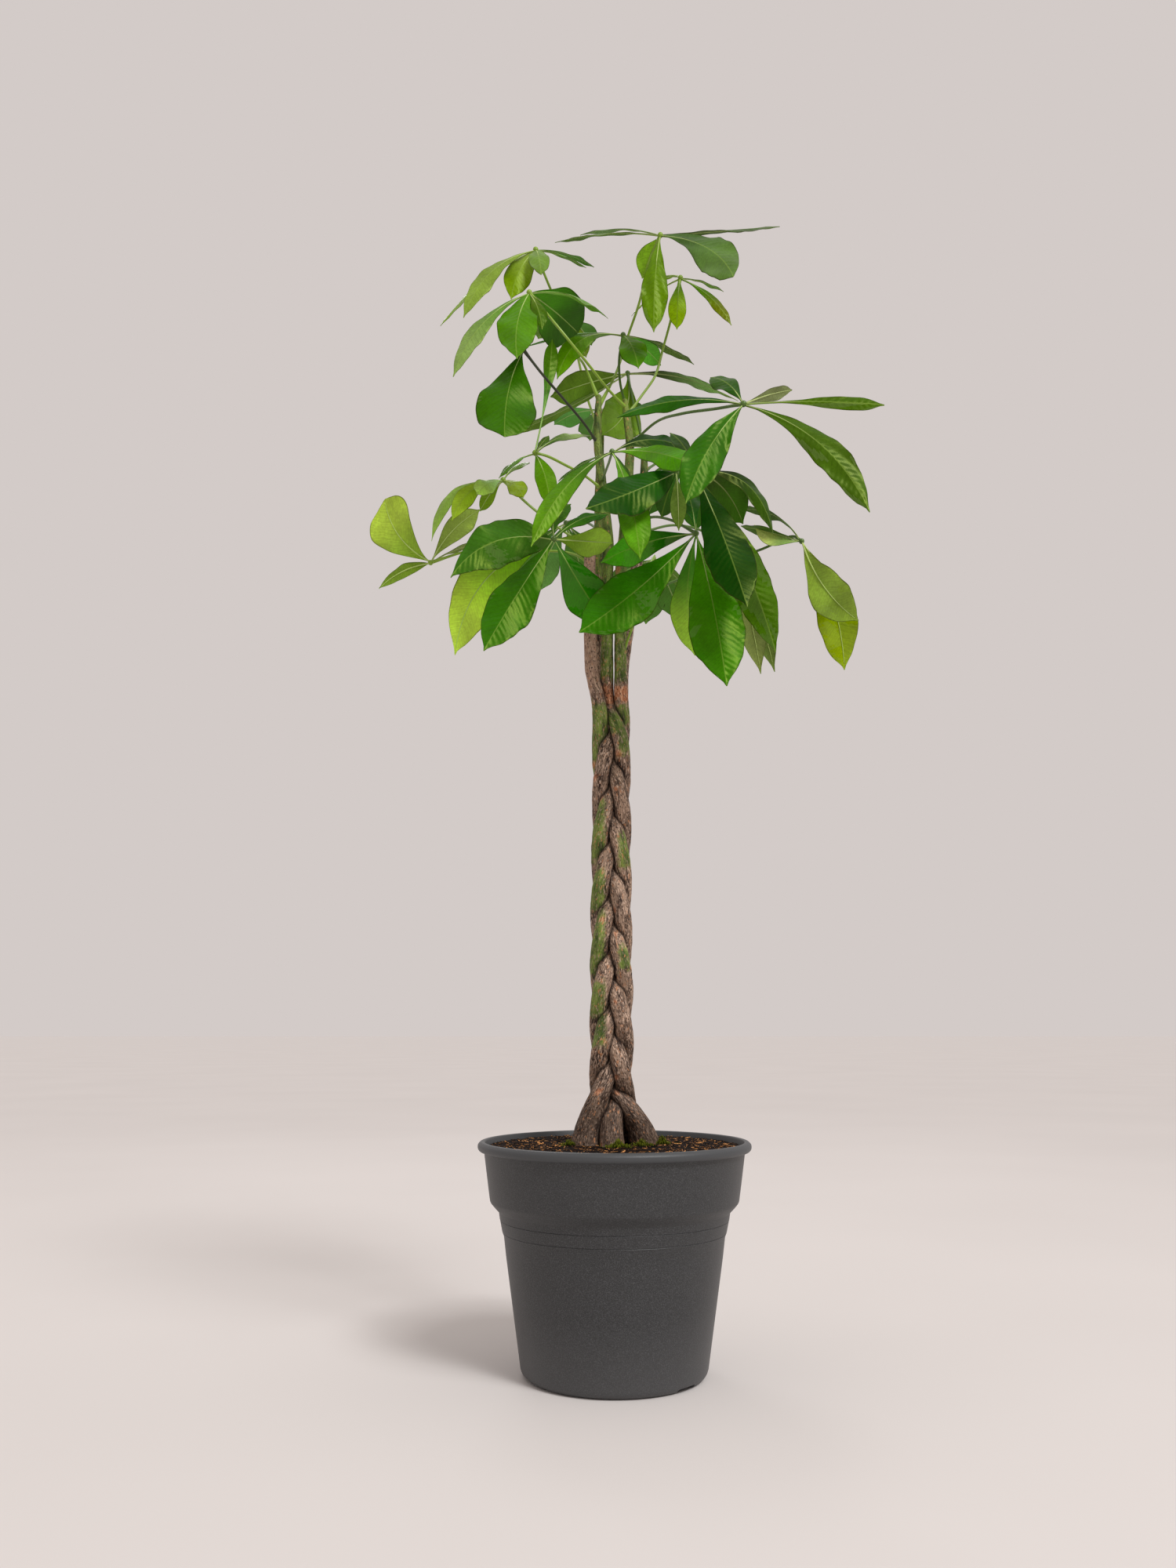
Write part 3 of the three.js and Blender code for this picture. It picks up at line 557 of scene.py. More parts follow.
# Each trunk: the x, y and radius of its foot, its turn in the braid, and x, y, height and radius along its
# crown. Then the heights between which it is green (in the braid only on its outer sides), where a corky
# band goes round it, and where it turns pink.
TRUNKS = {
    "trunk_right": {
        "foot": (-27, -8, 17), "turn": 0,
        "crown": ((6, -8, 700, 6.2), (6, -8, 790, 5.8), (12, -4, 860, 5), (16, -1, 920, 4.2),
                  (11, 0, 960, 3.4), (10, 0, 968, 2)),
        "green": ((398, 428), (505, 572), (640, 664), (680, 990)), "corky": ((664, 680),),
    },
    "trunk_leader": {
        "foot": (-2, -22, 12.5), "turn": 1,
        "crown": ((-7.5, -8, 700, 6.2), (-7, -5, 790, 5.8), (-6, -4, 826, 5.4), (-12, -2, 881, 4.6),
                  (-17, -1, 925, 4), (-16, 0, 962, 3.4), (-15, 0, 972, 2)),
        "green": ((455, 502), (608, 656), (682, 990)), "corky": ((658, 682),),
    },
    "trunk_left_back": {
        "foot": (14, 28, 15), "turn": 2,
        "crown": ((-14, 20, 700, 7), (-15, 34, 800, 6), (-15, 36, 880, 4.6), (-13, 35, 955, 3.4),
                  (-13, 35, 962, 2)),
        "green": ((392, 462), (800, 990)),
    },
    "trunk_left": {
        "foot": (31, 5, 16), "turn": 3,
        "crown": ((-23, -12, 700, 6.4), (-25, -13, 760, 6), (-24, -13, 815, 5.6), (-24, -13, 822, 3)),
        "green": ((350, 392), (498, 538), (584, 664)), "pink": (655, 700),
    },
    "trunk_right_back": {
        "foot": (-12, 25, 15), "turn": 4,
        "crown": ((8, 14, 700, 6.2), (14, 17, 745, 6), (21, 19, 790, 5.8), (28, 21, 860, 5),
                  (31, 22, 910, 4), (30, 22, 930, 2.4)),
        "green": ((322, 368), (820, 990)),
    },
}


def smoothstep(value, low, high):
    share = min(max((value - low) / (high - low), 0), 1)
    return share * share * (3 - 2 * share)


def braid_at(trunk, z):
    """Strands swing from side to side once in each turn, and from front to back twice."""
    swing = (z - BRAID_PHASE_HEIGHT) / BRAID_TURN + trunk["turn"] / BRAID_STRANDS
    angle = pi / 2 + 2 * pi * swing
    swell = BRAID_BASE_SWELL * (1 - smoothstep(z, BRAID_START, BRAID_END))
    x = BRAID_CENTRE - (BRAID_HALF_WIDTH + swell) * cos(angle)
    y = -(BRAID_HALF_DEPTH + swell) * sin(2 * angle)
    return Vector((x, y, BRAID_STRAND_RADIUS + swell))


def crown_at(trunk, z):
    """Above the braid a trunk runs from point to point of its crown."""
    for low, high in zip(trunk["crown"], trunk["crown"][1:]):
        if z <= high[2]:
            break
    share = min(max((z - low[2]) / (high[2] - low[2]), 0), 1)
    return Vector([mix(low[i], high[i], share) for i in (0, 1, 3)])


def trunk_at(trunk, z):
    """Where a trunk runs at a height, and its radius there, as x, y and radius."""
    around = [crown_at(trunk, z + step * CROWN_SMOOTHING) for step in (-1, 0, 1)]
    crown = sum(around, Vector((0, 0, 0))) / len(around)
    gathered = Vector(trunk["foot"]).lerp(braid_at(trunk, z), smoothstep(z, TRUNK_GATHERS, BRAID_START))
    return gathered.lerp(crown, smoothstep(z, BRAID_END, BRAID_END + PARTING_LENGTH))


# Bark of a young money tree: thin and dull, grey-brown with dark pores and pinkish flakes, grass green
# where it is still young, corky orange and pink where a shoot was cut off, and painted nearly black with
# shade in the creases where trunks press together.
bark, tree = new_material("young_speckled_bark")
green_part, scar_part, pink_part, crease_shade, old_part = [
    add(tree, "Attribute", attribute_name=share).outputs["Fac"] for share in BARK_SHARES
]
strand = add(tree, "Attribute", attribute_name="strand").outputs["Vector"]
drawn = add(tree, "Mapping", {"Vector": strand, "Scale": (1, 1, 0.28)})
stretched = add(tree, "Mapping", {"Vector": strand, "Scale": (1, 1, 0.55)})
cloud = add(tree, "TexNoise", {"Vector": drawn, "Scale": 0.2, "Detail": 5})
flake = add(tree, "TexNoise", {"Vector": drawn, "Scale": 0.85, "Detail": 3})
rust = add(tree, "TexNoise", {"Vector": stretched, "Scale": 0.42, "Detail": 3})
pore = add(tree, "TexVoronoi", {"Vector": stretched, "Scale": 0.62})
cloud_share = add(tree, "MapRange", {"Value": cloud, "From Min": 0.34, "From Max": 0.66})
ground = add(tree, "Mix", {0: cloud_share, 6: linear("#2b1b13"), 7: linear("#9a806c")}, data_type="RGBA")
flake_share = add(tree, "MapRange", {"Value": flake, "From Min": 0.5, "From Max": 0.66, "To Max": 0.85})
grassy = add(tree, "Mix", {0: cloud_share, 6: linear("#3a4c1c"), 7: linear("#7d9040")}, data_type="RGBA")
unflaked = add(tree, "MapRange", {
    "Value": flake, "From Min": 0.5, "From Max": 0.68, "To Min": 1, "To Max": 0.5,
})
green_share = add(tree, "Math", {0: green_part, 1: unflaked}, operation="MULTIPLY")
rust_share = add(tree, "MapRange", {"Value": rust, "From Min": 0.61, "From Max": 0.68, "To Max": 0.75})
cork = add(tree, "Mix", {0: flake_share, 6: linear("#b06e4a"), 7: linear("#ecb690")}, data_type="RGBA")
cork_share = add(tree, "Math", {0: scar_part, 1: 0.85}, operation="MULTIPLY")
pored = add(tree, "MapRange", {
    "Value": pore, "From Min": 0.16, "From Max": 0.42, "To Min": 0.95, "To Max": 0,
})
ungreen = add(tree, "MapRange", {"Value": green_part, "To Min": 1, "To Max": 0.5})
pore_share = add(tree, "Math", {0: pored, 1: ungreen}, operation="MULTIPLY")
# The last, nearly black layer is painted shade in the creases where trunks press together.
for share, over in (
    (flake_share, linear("#d4b6a0")), (old_part, linear("#33261d")), (pink_part, linear("#b8937f")),
    (green_share, grassy), (rust_share, linear("#b87f57")), (cork_share, cork),
    (pore_share, linear("#2a1c15")), (crease_shade, linear("#120806")),
):
    ground = add(tree, "Mix", {0: share, 6: ground, 7: over}, data_type="RGBA")
cracks = add(tree, "Math", {0: flake, 1: pore}, operation="ADD")
barky = add(tree, "Bump", {"Height": cracks, "Strength": 0.6, "Distance": 0.0008})
shader = add(tree, "BsdfPrincipled", {
    "Base Color": ground, "Roughness": 0.7, "Specular IOR Level": 0.25, "Normal": barky,
})
add(tree, "OutputMaterial", {"Surface": shader})

courses = {
    name: [trunk_at(trunk, height) for height in range(TRUNK_FOOT, TALLEST_TRUNK)]
    for name, trunk in TRUNKS.items()
}


def crease_shade_at(name, place):
    """How deep a spot of one trunk's bark lies in the creases between it and its neighbours, from 0 to 1: how
    much painted shade darkens the bark there.
    """
    deepest = 0
    for other, course in courses.items():
        if other == name or place.z > TRUNKS[other]["crown"][-1][2]:
            continue
        x, y, radius = course[min(int(place.z) - TRUNK_FOOT, len(course) - 1)]
        clearance = hypot(place.x - x, place.y - y) - radius
        deepest = max(deepest, 1 - clearance / CREASE_WIDTH)
    return min(deepest, 1)


for number, (node, trunk) in enumerate(TRUNKS.items()):
    draw = random.Random(TRUNK_SEED + number)
    top = trunk["crown"][-1][2]
    rings = round((top - TRUNK_FOOT) / RING_SPACING)
    scars = []
    height = TRUNK_GATHERS + SCAR_MARGINS[0]
    while height < top - SCAR_MARGINS[1]:
        scars.append((height, draw.uniform(0, 2 * pi), draw.uniform(*SCAR_SIZES)))
        height += draw.uniform(*SCAR_SPACING)
    bm = bmesh.new()
    layers = {share: bm.verts.layers.float.new(share) for share in BARK_SHARES}
    strand_layer = bm.verts.layers.float_vector.new("strand")
    own_part = TRUNKS_APART * number

    def bark_place(corner, round_share, ring):
        z = mix(TRUNK_FOOT, top, ring / (rings - 1))
        x, y, radius = trunk_at(trunk, z)
        angle = 2 * pi * round_share
        outward = Vector((cos(angle), sin(angle), 0))
        corner[strand_layer] = outward * radius + Vector((0, 0, z + own_part))
        if ring in (0, rings - 1):
            corner.co = (x, y, z)
            return
        place = Vector((x, y, z)) + outward * radius
        spot = place + Vector((0, 0, own_part))
        swelling = sum(depth * noise.noise(spot / size) for size, depth in BARK_LUMPS)
        scar = 0
        for scar_z, scar_angle, size in scars:
            if abs(z - scar_z) > SCAR_REACH * size:
                continue
            turn = remainder(angle - scar_angle, 2 * pi)
            distance = hypot(z - scar_z, radius * turn) / size
            scar += max(0, 1 - distance) ** 0.5
            dish = SCAR_DISH[0] * exp(-(distance * SCAR_DISH[1]) ** 2)
            swelling += SCAR_HEIGHT * size * (exp(-distance ** 2) - dish)
        fringe = GREEN_FADE * noise.noise(place / FRINGE_SIZE)
        ragged = z + fringe
        for low, high in trunk.get("corky", ()):
            until = 1 - smoothstep(ragged, high - CORKY_FADE, high)
            scar += smoothstep(ragged, low, low + CORKY_FADE) * until
        corner.co = place + outward * swelling * min(1, radius / BRAID_STRAND_RADIUS)
        green = 0
        for low, high in trunk["green"]:
            until = 1 - smoothstep(ragged, high - GREEN_FADE, high)
            green = max(green, smoothstep(ragged, low, low + GREEN_FADE) * until)
        if z < BRAID_END:
            green *= smoothstep(abs(place.x - BRAID_CENTRE) + BRAID_FRINGE * fringe, *BRAID_GREEN_FROM)
        green *= 1 + smoothstep(z, *YOUNG_STEM)
        pink = PINK_SHARE * smoothstep(z, *trunk["pink"]) if "pink" in trunk else 0
        old = OLD_SHARE * (1 - smoothstep(z, *OLD_STEM))
        # The crease share is painted shade, darkest where a neighbouring trunk presses close.
        shares = (green, min(scar, 1), pink, CREASE_SHADE_SHARE * crease_shade_at(node, place), old)
        for kind, share in zip(BARK_SHARES, shares):
            corner[layers[kind]] = share

    wrapped(bm, TRUNK_SIDES, rings, bark_place)
    finished("grown_" + node, bm, [bark], "bark", node)

# Leaves
# Each grows from a trunk on a long wiry stalk and opens like a hand into two to seven leaflets that meet at
# a small knob. The blades are thin and waxy, with a pale midrib, side veins and slightly waved margins.
BLADE_THICKNESS = 0.5
BLADE_COLUMNS = 14
BLADE_ROWS = 34
COLUMN_CROWDING = 1.25
BLADE_STALK_HALF = 0.8
BLADE_ROOT = 1.6
BLADE_TIP_HALF = 0.35
BLADE_DROOP = 0.16
BLADE_WAVE = 0.05
BLADE_WAVES = 2.2
TIP_DRAWN = 0.1
TIP_COLOUR_AT = (0.25, 0.75)
VEIN_SPACING = 6.5
VEIN_SLANT = 0.8
MARGIN_RIPPLE = 0.9
RIPPLES_A_VEIN = 2.1
WIDE_BLADE = 42
MARGIN_UNEVEN = 0.1
MARGIN_PATCH = 18
PATCHES_APART = (2, 9)
RIB_SIDES = 6
RIB_RINGS = 22
RIB_RADII = (0.85, 0.2)
RIB_TINT = "#c9db86"
RIB_TINT_SHARE = 0.6
WAX_TINT = (0.8, 1.0, 0.12, 1.0)
HUB_RADIUS = 2.7
STALK_SIDES = 10
STALK_STEPS = 8
STALK_RADIUS = 1.25
# How much a stalk widens at the trunk and at the knob, and how fast that fades along it.
ROOT_FLARE = (0.9, 8)
KNOB_FLARE = (0.5, 9)
FRONT = (0, -1, 0.15)
TILTED = (0, -0.85, 0.5)
LEVEL = (0, -0.4, 0.92)
UNDER = (0, 0.15, 1)
BEHIND = (0, 0.7, 0.7)
STALK_LIME = "#83a32b"
STALK_GREEN = "#4f6f22"
# A stalk painted dark: painted shade, where it hangs in shadow under the crown.
STALK_SHADED = "#2c3218"
PLAIN_FORM = {"arch": 0.07, "bend": 0, "twist": 0, "fullest": 1.6, "skew": 0, "blunt": 0.9}
# Each leaf: its node, its trunk and the height it grows from there, the stalk's bends, the knob and the
# stalk's colour. Then each leaflet: its tip from the knob, its width, the way its upper side looks, its
# colour and, for some, where its form isn't plain. Arch and bend are how far the midrib bows up and aside,
# as shares of the length, twist is how many degrees the blade turns on its way, fullest grows as the widest
# place nears the tip, skew sets that place apart on the two halves, a low blunt squares the ends, and tip
# is the colour that the blade passes into. The leaflet and tip colours hold painted light and shade as well
# as each leaflet's own green: lime where light shines through a blade, dark green where it lies in shade.
LEAVES = [
    ("leaf_top_right", "trunk_leader", 958, ((3, 26, 1008), (15, 33, 1049), (25, 15, 1070), (36, 0, 1108)),
     (45, -10, 1123), STALK_LIME,
     (-103, -20, -20, 18, LEVEL, "#5c8328", {"arch": 0.05}), (-79, 30, 19, 14, LEVEL, "#779a61"),
     (116, -10, 2, 18, LEVEL, "#466428", {"arch": 0, "twist": 50}),
     (65, -60, -77, 41, FRONT, "#4c6e33",
      {"arch": 0.01, "fullest": 1.7, "bend": -0.1, "skew": 0.25, "blunt": 0.65, "tip": "#61853c"}),
     (-17, 22, -29, 26, FRONT, "#8fbf1a", {"fullest": 1.3}), (-8, -30, -112, 26, FRONT, "#5e8504")),
    ("leaf_top_right_young", "trunk_right", 950,
     ((28, 8, 975), (41, 12, 996), (50, 20, 1030), (58, 25, 1061)), (67, 20, 1099), STALK_LIME,
     (-5, -20, -63, 18, FRONT, "#6d9c04", {"tip": "#a9d010"}),
     (49, -20, -59, 12, TILTED, "#5d9604", {"tip": "#6f7b07"}), (45, 15, -5, 11, LEVEL, "#65952f"),
     (-49, 8, -34, 11, LEVEL, "#84a828"), (-15, 40, 22, 12, LEVEL, "#84a828")),
    ("leaf_top_left", "trunk_leader", 966,
     ((-30, 14, 1008), (-44, 42, 1042), (-59, 25, 1078), (-71, 8, 1099)), (-78, 0, 1115), STALK_LIME,
     (-92, -20, -87, 20, LEVEL, "#84a828", {"arch": 0.06}),
     (-67, -45, -93, 20, TILTED, "#87a43e", {"arch": 0.1}),
     (-23, -22, -62, 27, FRONT, "#90ac3d", {"fullest": 1.2, "tip": "#7fa306"}),
     (7, -40, -49, 20, FRONT, "#719633", {"fullest": 1.1, "blunt": 0.7}),
     (50, 10, -12, 14, LEVEL, "#65952f"), (58, 40, 7, 15, LEVEL, "#4c8c2c")),
    ("leaf_upper_left", "trunk_right", 958, ((-8, -24, 966), (-26, -46, 977), (-50, -62, 998)),
     (-82, -50, 1043), STALK_LIME,
     (-68, -40, -101, 18, TILTED, "#659234", {"arch": 0.09, "tip": "#87a458"}),
     (-9, -45, -87, 38, FRONT, "#518b04", {"arch": 0.02, "fullest": 1.05, "bend": 0.05}),
     (75, 5, -22, 28, LEVEL, "#91c757", {"arch": 0.13, "tip": "#629b13"}),
     (46, 58, -6, 54, BEHIND, "#52a204",
      {"arch": 0.03, "fullest": 1.5, "skew": -0.2, "blunt": 0.6, "tip": "#236a04"}),
     (13, -20, -46, 15, TILTED, "#4e6d04", {"tip": "#416c04"})),
    ("leaf_hanging_left", "trunk_leader", 922, ((-30, -14, 936), (-49, -30, 951), (-71, -50, 967)),
     (-87, -60, 983), STALK_SHADED,
     (-15, -40, -101, 57, FRONT, "#377004", {"arch": 0.02, "fullest": 1.9, "bend": 0.04, "blunt": 0.7}),
     (-23, 40, 34, 15, LEVEL, "#347a1a")),
    ("leaf_upper_middle", "trunk_right", 962, ((6, 5, 985), (5, 7, 1010)), (9, 10, 1036), STALK_GREEN,
     (-65, -40, -65, 24, TILTED, "#496821", {"arch": 0.17, "tip": "#66a106"}),
     (14, -35, -52, 27, FRONT, "#5c9104", {"fullest": 1.1, "tip": "#498304"}),
     (75, 50, -3, 20, LEVEL, "#678a2f"), (40, 40, -9, 20, BEHIND, "#6dcb3d"),
     (-98, 20, -1, 14, LEVEL, "#4c8c2c")),
    ("leaf_middle_back", "trunk_right_back", 922, ((26, 34, 955), (20, 48, 990)), (15, 60, 1024),
     STALK_GREEN,
     (-79, -35, -42, 30, BEHIND, "#6e9420", {"arch": 0.02}),
     (-124, -40, -84, 18, UNDER, "#6a951e", {"arch": -0.02}),
     (-27, -38, -82, 46, BEHIND, "#698e1a", {"bend": 0.2, "tip": "#7ba431"}),
     (96, -35, -40, 18, UNDER, "#274204", {"tip": "#7da860"}), (115, 0, -29, 18, LEVEL, "#678a2f")),
    ("leaf_right", "trunk_right", 920, ((38, -35, 926), (60, -90, 908), (88, -140, 888)), (107, -170, 877),
     STALK_GREEN,
     (-108, 20, -2, 20, TILTED, "#104e04", {"arch": 0.08, "tip": "#236504"}),
     (-24, 45, 46, 20, FRONT, "#1f5704", {"tip": "#33610f"}),
     (49, 45, 35, 12, BEHIND, "#8a9663", {"arch": 0.02}),
     (118, -10, -6, 13, FRONT, "#436704", {"arch": 0.02, "fullest": 2.6}),
     (100, -35, -107, 27, FRONT, "#45690f", {"arch": 0.1}),
     (-53, -45, -104, 33, FRONT, "#2d6c04", {"arch": 0.0, "fullest": 1.3, "bend": 0.05})),
    ("leaf_middle_front", "trunk_leader", 884, ((-9, -25, 884), (-6, -60, 878)), (-4, -90, 873), STALK_GREEN,
     (76, 25, 11, 26, TILTED, "#0a3904", {"arch": 0.14, "tip": "#0d4804"}),
     (75, -82, -53, 25, FRONT, "#66ac04", {"arch": 0.05, "tip": "#529b04"}),
     (-50, 34, -12, 14, LEVEL, "#4c8c2c"), (-71, -75, -116, 20, FRONT, "#3d7104", {"tip": "#5e960d"}),
     (23, -70, -125, 28, FRONT, "#68ac1c", {"fullest": 1.9}), (18, 50, -11, 11, LEVEL, "#4c8c2c")),
    ("leaf_front_right", "trunk_right", 850, ((38, -50, 846), (46, -100, 838)), (52, -130, 836), STALK_GREEN,
     (-80, -55, -55, 38, FRONT, "#155804",
      {"arch": -0.03, "fullest": 0.95, "bend": 0.02, "blunt": 0.8, "tip": "#0d4804"}),
     (1, -20, -59, 14, BEHIND, "#75953c"), (-11, 35, -25, 20, FRONT, "#2b7f04", {"tip": "#176404"}),
     (-40, 50, 10, 19, TILTED, "#347a1a")),
    ("leaf_left", "trunk_leader", 815, ((-34, -8, 823), (-65, -14, 841), (-87, -18, 857)), (-109, -20, 878),
     STALK_LIME,
     (-23, -30, -27, 20, FRONT, "#add587", {"tip": "#b9dd6a"}),
     (-47, -25, -50, 18, FRONT, "#9fc031", {"arch": 0.14}),
     (-71, 12, -55, 14, TILTED, "#98bc57", {"arch": 0.24}), (22, -35, -32, 18, FRONT, "#91ae23"),
     (24, 40, 35, 14, LEVEL, "#678a2f"), (-24, 20, -22, 13, BEHIND, "#81aa09")),
    ("leaf_far_left", "trunk_left_back", 806, ((-38, 26, 822), (-81, 24, 826), (-142, 26, 827)),
     (-186, 30, 816), STALK_LIME,
     (-45, -10, 60, 52, BEHIND, "#9ec33c", {"arch": -0.135, "fullest": 2.1, "blunt": 0.6, "tip": "#bbd64e"}),
     (-48, -25, -35, 13, BEHIND, "#84a828", {"fullest": 1.0}), (49, 15, 60, 24, BEHIND, "#9ab251"),
     (78, 45, 40, 20, UNDER, "#7f9643")),
    ("leaf_front_left", "trunk_left", 806, ((-28, -40, 806), (-46, -85, 793)), (-57, -110, 785), STALK_GREEN,
     (-91, -20, -42, 46, FRONT, "#386d17",
      {"arch": 0.0, "fullest": 0.75, "bend": 0.17, "skew": -0.15, "blunt": 1.0}),
     (-60, -40, -113, 41, FRONT, "#2f7004", {"arch": -0.02, "fullest": 1.4, "bend": 0.03}),
     (-92, 25, -97, 44, BEHIND, "#92d010", {"arch": 0.12, "fullest": 1.4, "bend": -0.06, "tip": "#bedd4b"}),
     (47, 14, -72, 40, FRONT, "#1e7804", {"arch": 0.03, "bend": 0.04, "tip": "#2d9204"}),
     (15, 25, 42, 18, FRONT, "#407919", {"bend": -0.1}),
     (50, 48, 42, 15, TILTED, "#377104", {"tip": "#2b6e04"}),
     (54, 50, 16, 30, BEHIND, "#7da80b", {"arch": 0, "tip": "#a7cd41"})),
    ("leaf_low_right", "trunk_right", 832, ((30, -30, 836), (50, -72, 818)), (72, -105, 792), STALK_GREEN,
     (-106, -23, -97, 50, FRONT, "#317c04", {"arch": -0.03, "fullest": 1.7}),
     (-86, 25, -17, 30, FRONT, "#175f04", {"arch": 0.02, "bend": 0.04, "tip": "#52b51b"}),
     (24, -35, -148, 50, FRONT, "#4c9c06", {"arch": 0.02, "fullest": 1.5, "tip": "#397e04"}),
     (2, 35, -100, 32, FRONT, "#3f9c04", {"bend": 0.07, "tip": "#a7d043"}),
     (-8, 45, 64, 20, TILTED, "#1f6616", {"tip": "#105004"})),
    ("leaf_hanging_right", "trunk_right_back", 880, ((46, -10, 886), (60, -65, 870)), (70, -110, 847),
     STALK_SHADED,
     (40, -62, -144, 42, FRONT, "#0a4004", {"arch": 0.02}),
     (75, 25, -48, 22, TILTED, "#082a04", {"arch": 0.24, "tip": "#305704"}),
     (75, 10, -161, 36, FRONT, "#477704", {"arch": 0.04}), (68, 58, -167, 30, BEHIND, "#88964f"),
     (86, 90, -156, 28, BEHIND, "#6a8335"), (-20, 30, 48, 13, FRONT, "#3c5f2d"),
     (49, 40, -32, 34, BEHIND, "#2b5a04", {"arch": 0.16, "tip": "#458504"})),
    ("leaf_far_right", "trunk_right_back", 776,
     ((70, 22, 798), (108, 18, 811), (148, 10, 822), (176, -2, 830)), (184, -10, 822), STALK_GREEN,
     (47, -40, -91, 38, BEHIND, "#9fbd4a", {"arch": 0.03, "fullest": 1.5, "bend": -0.1}),
     (40, -10, -129, 38, BEHIND, "#93ac07"), (-57, 40, 48, 22, UNDER, "#326304", {"arch": 0.12}),
     (-58, 15, 21, 20, UNDER, "#47731e", {"arch": 0.02}),
     (-45, 10, 20, 16, FRONT, "#97bc68", {"arch": -0.12, "tip": "#cfdd88"})),
    ("leaf_inner_left", "trunk_leader", 876, ((-30, -12, 886), (-49, -24, 891), (-66, -36, 894)),
     (-77, -40, 895), STALK_LIME,
     (16, -30, -65, 20, FRONT, "#5c920b", {"fullest": 1.2}),
     (16, 20, 120, 14, FRONT, "#70b156", {"fullest": 3.0, "bend": 0.07, "tip": "#538411"}),
     (14, -20, 7, 10, LEVEL, "#65952f"), (54, 65, 47, 12, TILTED, "#436621", {"tip": "#96ad6c"}),
     (-33, -22, -34, 10, LEVEL, "#65952f")),
    ("leaf_back_low", "trunk_right", 706, ((19, -12, 742), (31, -2, 788), (42, 52, 830)), (45, 110, 850),
     STALK_LIME,
     (-50, 50, -35, 36, UNDER, "#4c8c2c"), (-5, 78, -45, 38, UNDER, "#4c8c2c"),
     (34, 68, -44, 36, UNDER, "#4c8c2c"), (46, 0, -50, 28, UNDER, "#65952f"),
     (-58, 0, -34, 30, UNDER, "#4c8c2c")),
    ("leaf_back_left", "trunk_left_back", 850, ((-24, 62, 868), (-38, 90, 884)), (-50, 108, 888),
     STALK_GREEN,
     (-66, 30, -48, 36, UNDER, "#4c8c2c"), (-38, 72, -52, 36, UNDER, "#559644", {"tip": "#69a251"}),
     (22, 78, -50, 36, UNDER, "#4c8c2c"), (46, 26, -56, 32, UNDER, "#347a1a")),
    ("leaf_back_right", "trunk_right_back", 905, ((50, 52, 930), (70, 84, 952)), (84, 106, 960), STALK_GREEN,
     (50, 46, -52, 34, UNDER, "#4c8c2c"), (14, 80, -50, 34, UNDER, "#2e7704"),
     (-44, 62, -40, 32, UNDER, "#347a1a"), (-54, 8, -40, 26, UNDER, "#4c8c2c")),
    ("leaf_back_top", "trunk_left_back", 948, ((-17, 68, 975), (-26, 88, 1010), (-38, 92, 1062)),
     (-48, 92, 1100), STALK_LIME,
     (-34, 66, 14, 30, UNDER, "#65952f"), (26, 72, 10, 30, UNDER, "#4c8c2c"),
     (-2, 96, 18, 30, UNDER, "#65952f"), (20, 30, -26, 20, UNDER, "#84a828")),
    ("leaf_back_middle", "trunk_left_back", 916, ((-14, 60, 950), (-14, 92, 990)), (-14, 112, 1012),
     STALK_GREEN,
     (-50, 50, 8, 32, UNDER, "#5ca849"), (30, 74, 12, 34, UNDER, "#4c8c2c"),
     (-10, 88, 8, 32, UNDER, "#4c8c2c"), (52, 20, 8, 24, UNDER, "#347a1a")),
    ("leaf_back_far_right", "trunk_right_back", 842, ((62, 50, 862), (98, 88, 870)), (116, 110, 866),
     STALK_GREEN,
     (42, 52, -40, 34, UNDER, "#4c8c2c"), (-8, 80, -46, 34, UNDER, "#347a1a"),
     (-30, 20, -66, 30, UNDER, "#4c8c2c"), (44, -6, -56, 28, UNDER, "#65952f")),
]

# Waxy leaf blade: glossy on top and puckered between its side veins, dull and paler underneath. The midrib
# is a fine pale line, the margin is thin and brownish, and some light comes through. Painted shade makes
# the blade a little darker along its side veins and lighter on the puckered panels between them, and each
# leaflet's tint carries painted light and shade as well as its own green.
blade, tree = new_material("waxy_leaf_blade")
place = add(tree, "TexCoord").outputs["Object"]
tint = add(tree, "Attribute", attribute_name="tint").outputs["Color"]
under = add(tree, "Attribute", attribute_name="under").outputs["Fac"]
plan = add(tree, "SeparateXYZ", {0: add(tree, "Attribute", attribute_name="blade").outputs["Vector"]})
reach, veins, edge = [plan.outputs[axis] for axis in "XYZ"]
right = add(tree, "Math", {0: reach, 1: 0}, operation="GREATER_THAN")
bent = add(tree, "TexNoise", {"Vector": place, "Scale": 55, "Detail": 1})
along = add(tree, "Math", {0: bent, 1: 1.1, 2: veins}, operation="MULTIPLY_ADD")
phase = add(tree, "Math", {0: right, 1: 0.45, 2: along}, operation="MULTIPLY_ADD")
beside = add(tree, "Math", {0: phase, 1: 0.5}, operation="PINGPONG")
vein = add(tree, "MapRange", {"Value": beside, "From Max": 0.07, "To Min": 0.5, "To Max": 0})
across = add(tree, "Math", {0: reach}, operation="ABSOLUTE")
midrib = add(tree, "MapRange", {
    "Value": across, "From Min": 0.15, "From Max": 0.8, "To Min": 0.38, "To Max": 0,
})
margin = add(tree, "MapRange", {"Value": edge, "From Min": 0.95, "From Max": 0.985, "To Max": 0.6})
mottle = add(tree, "TexNoise", {"Vector": place, "Scale": 38, "Detail": 3})
fleck = add(tree, "TexNoise", {"Vector": place, "Scale": 420})
broad = add(tree, "MapRange", {
    "Value": mottle, "From Min": 0.3, "From Max": 0.7, "To Min": 0.8, "To Max": 1.14,
})
fine = add(tree, "MapRange", {"Value": fleck, "From Min": 0.3, "From Max": 0.7, "To Min": 0.9, "To Max": 1.1})
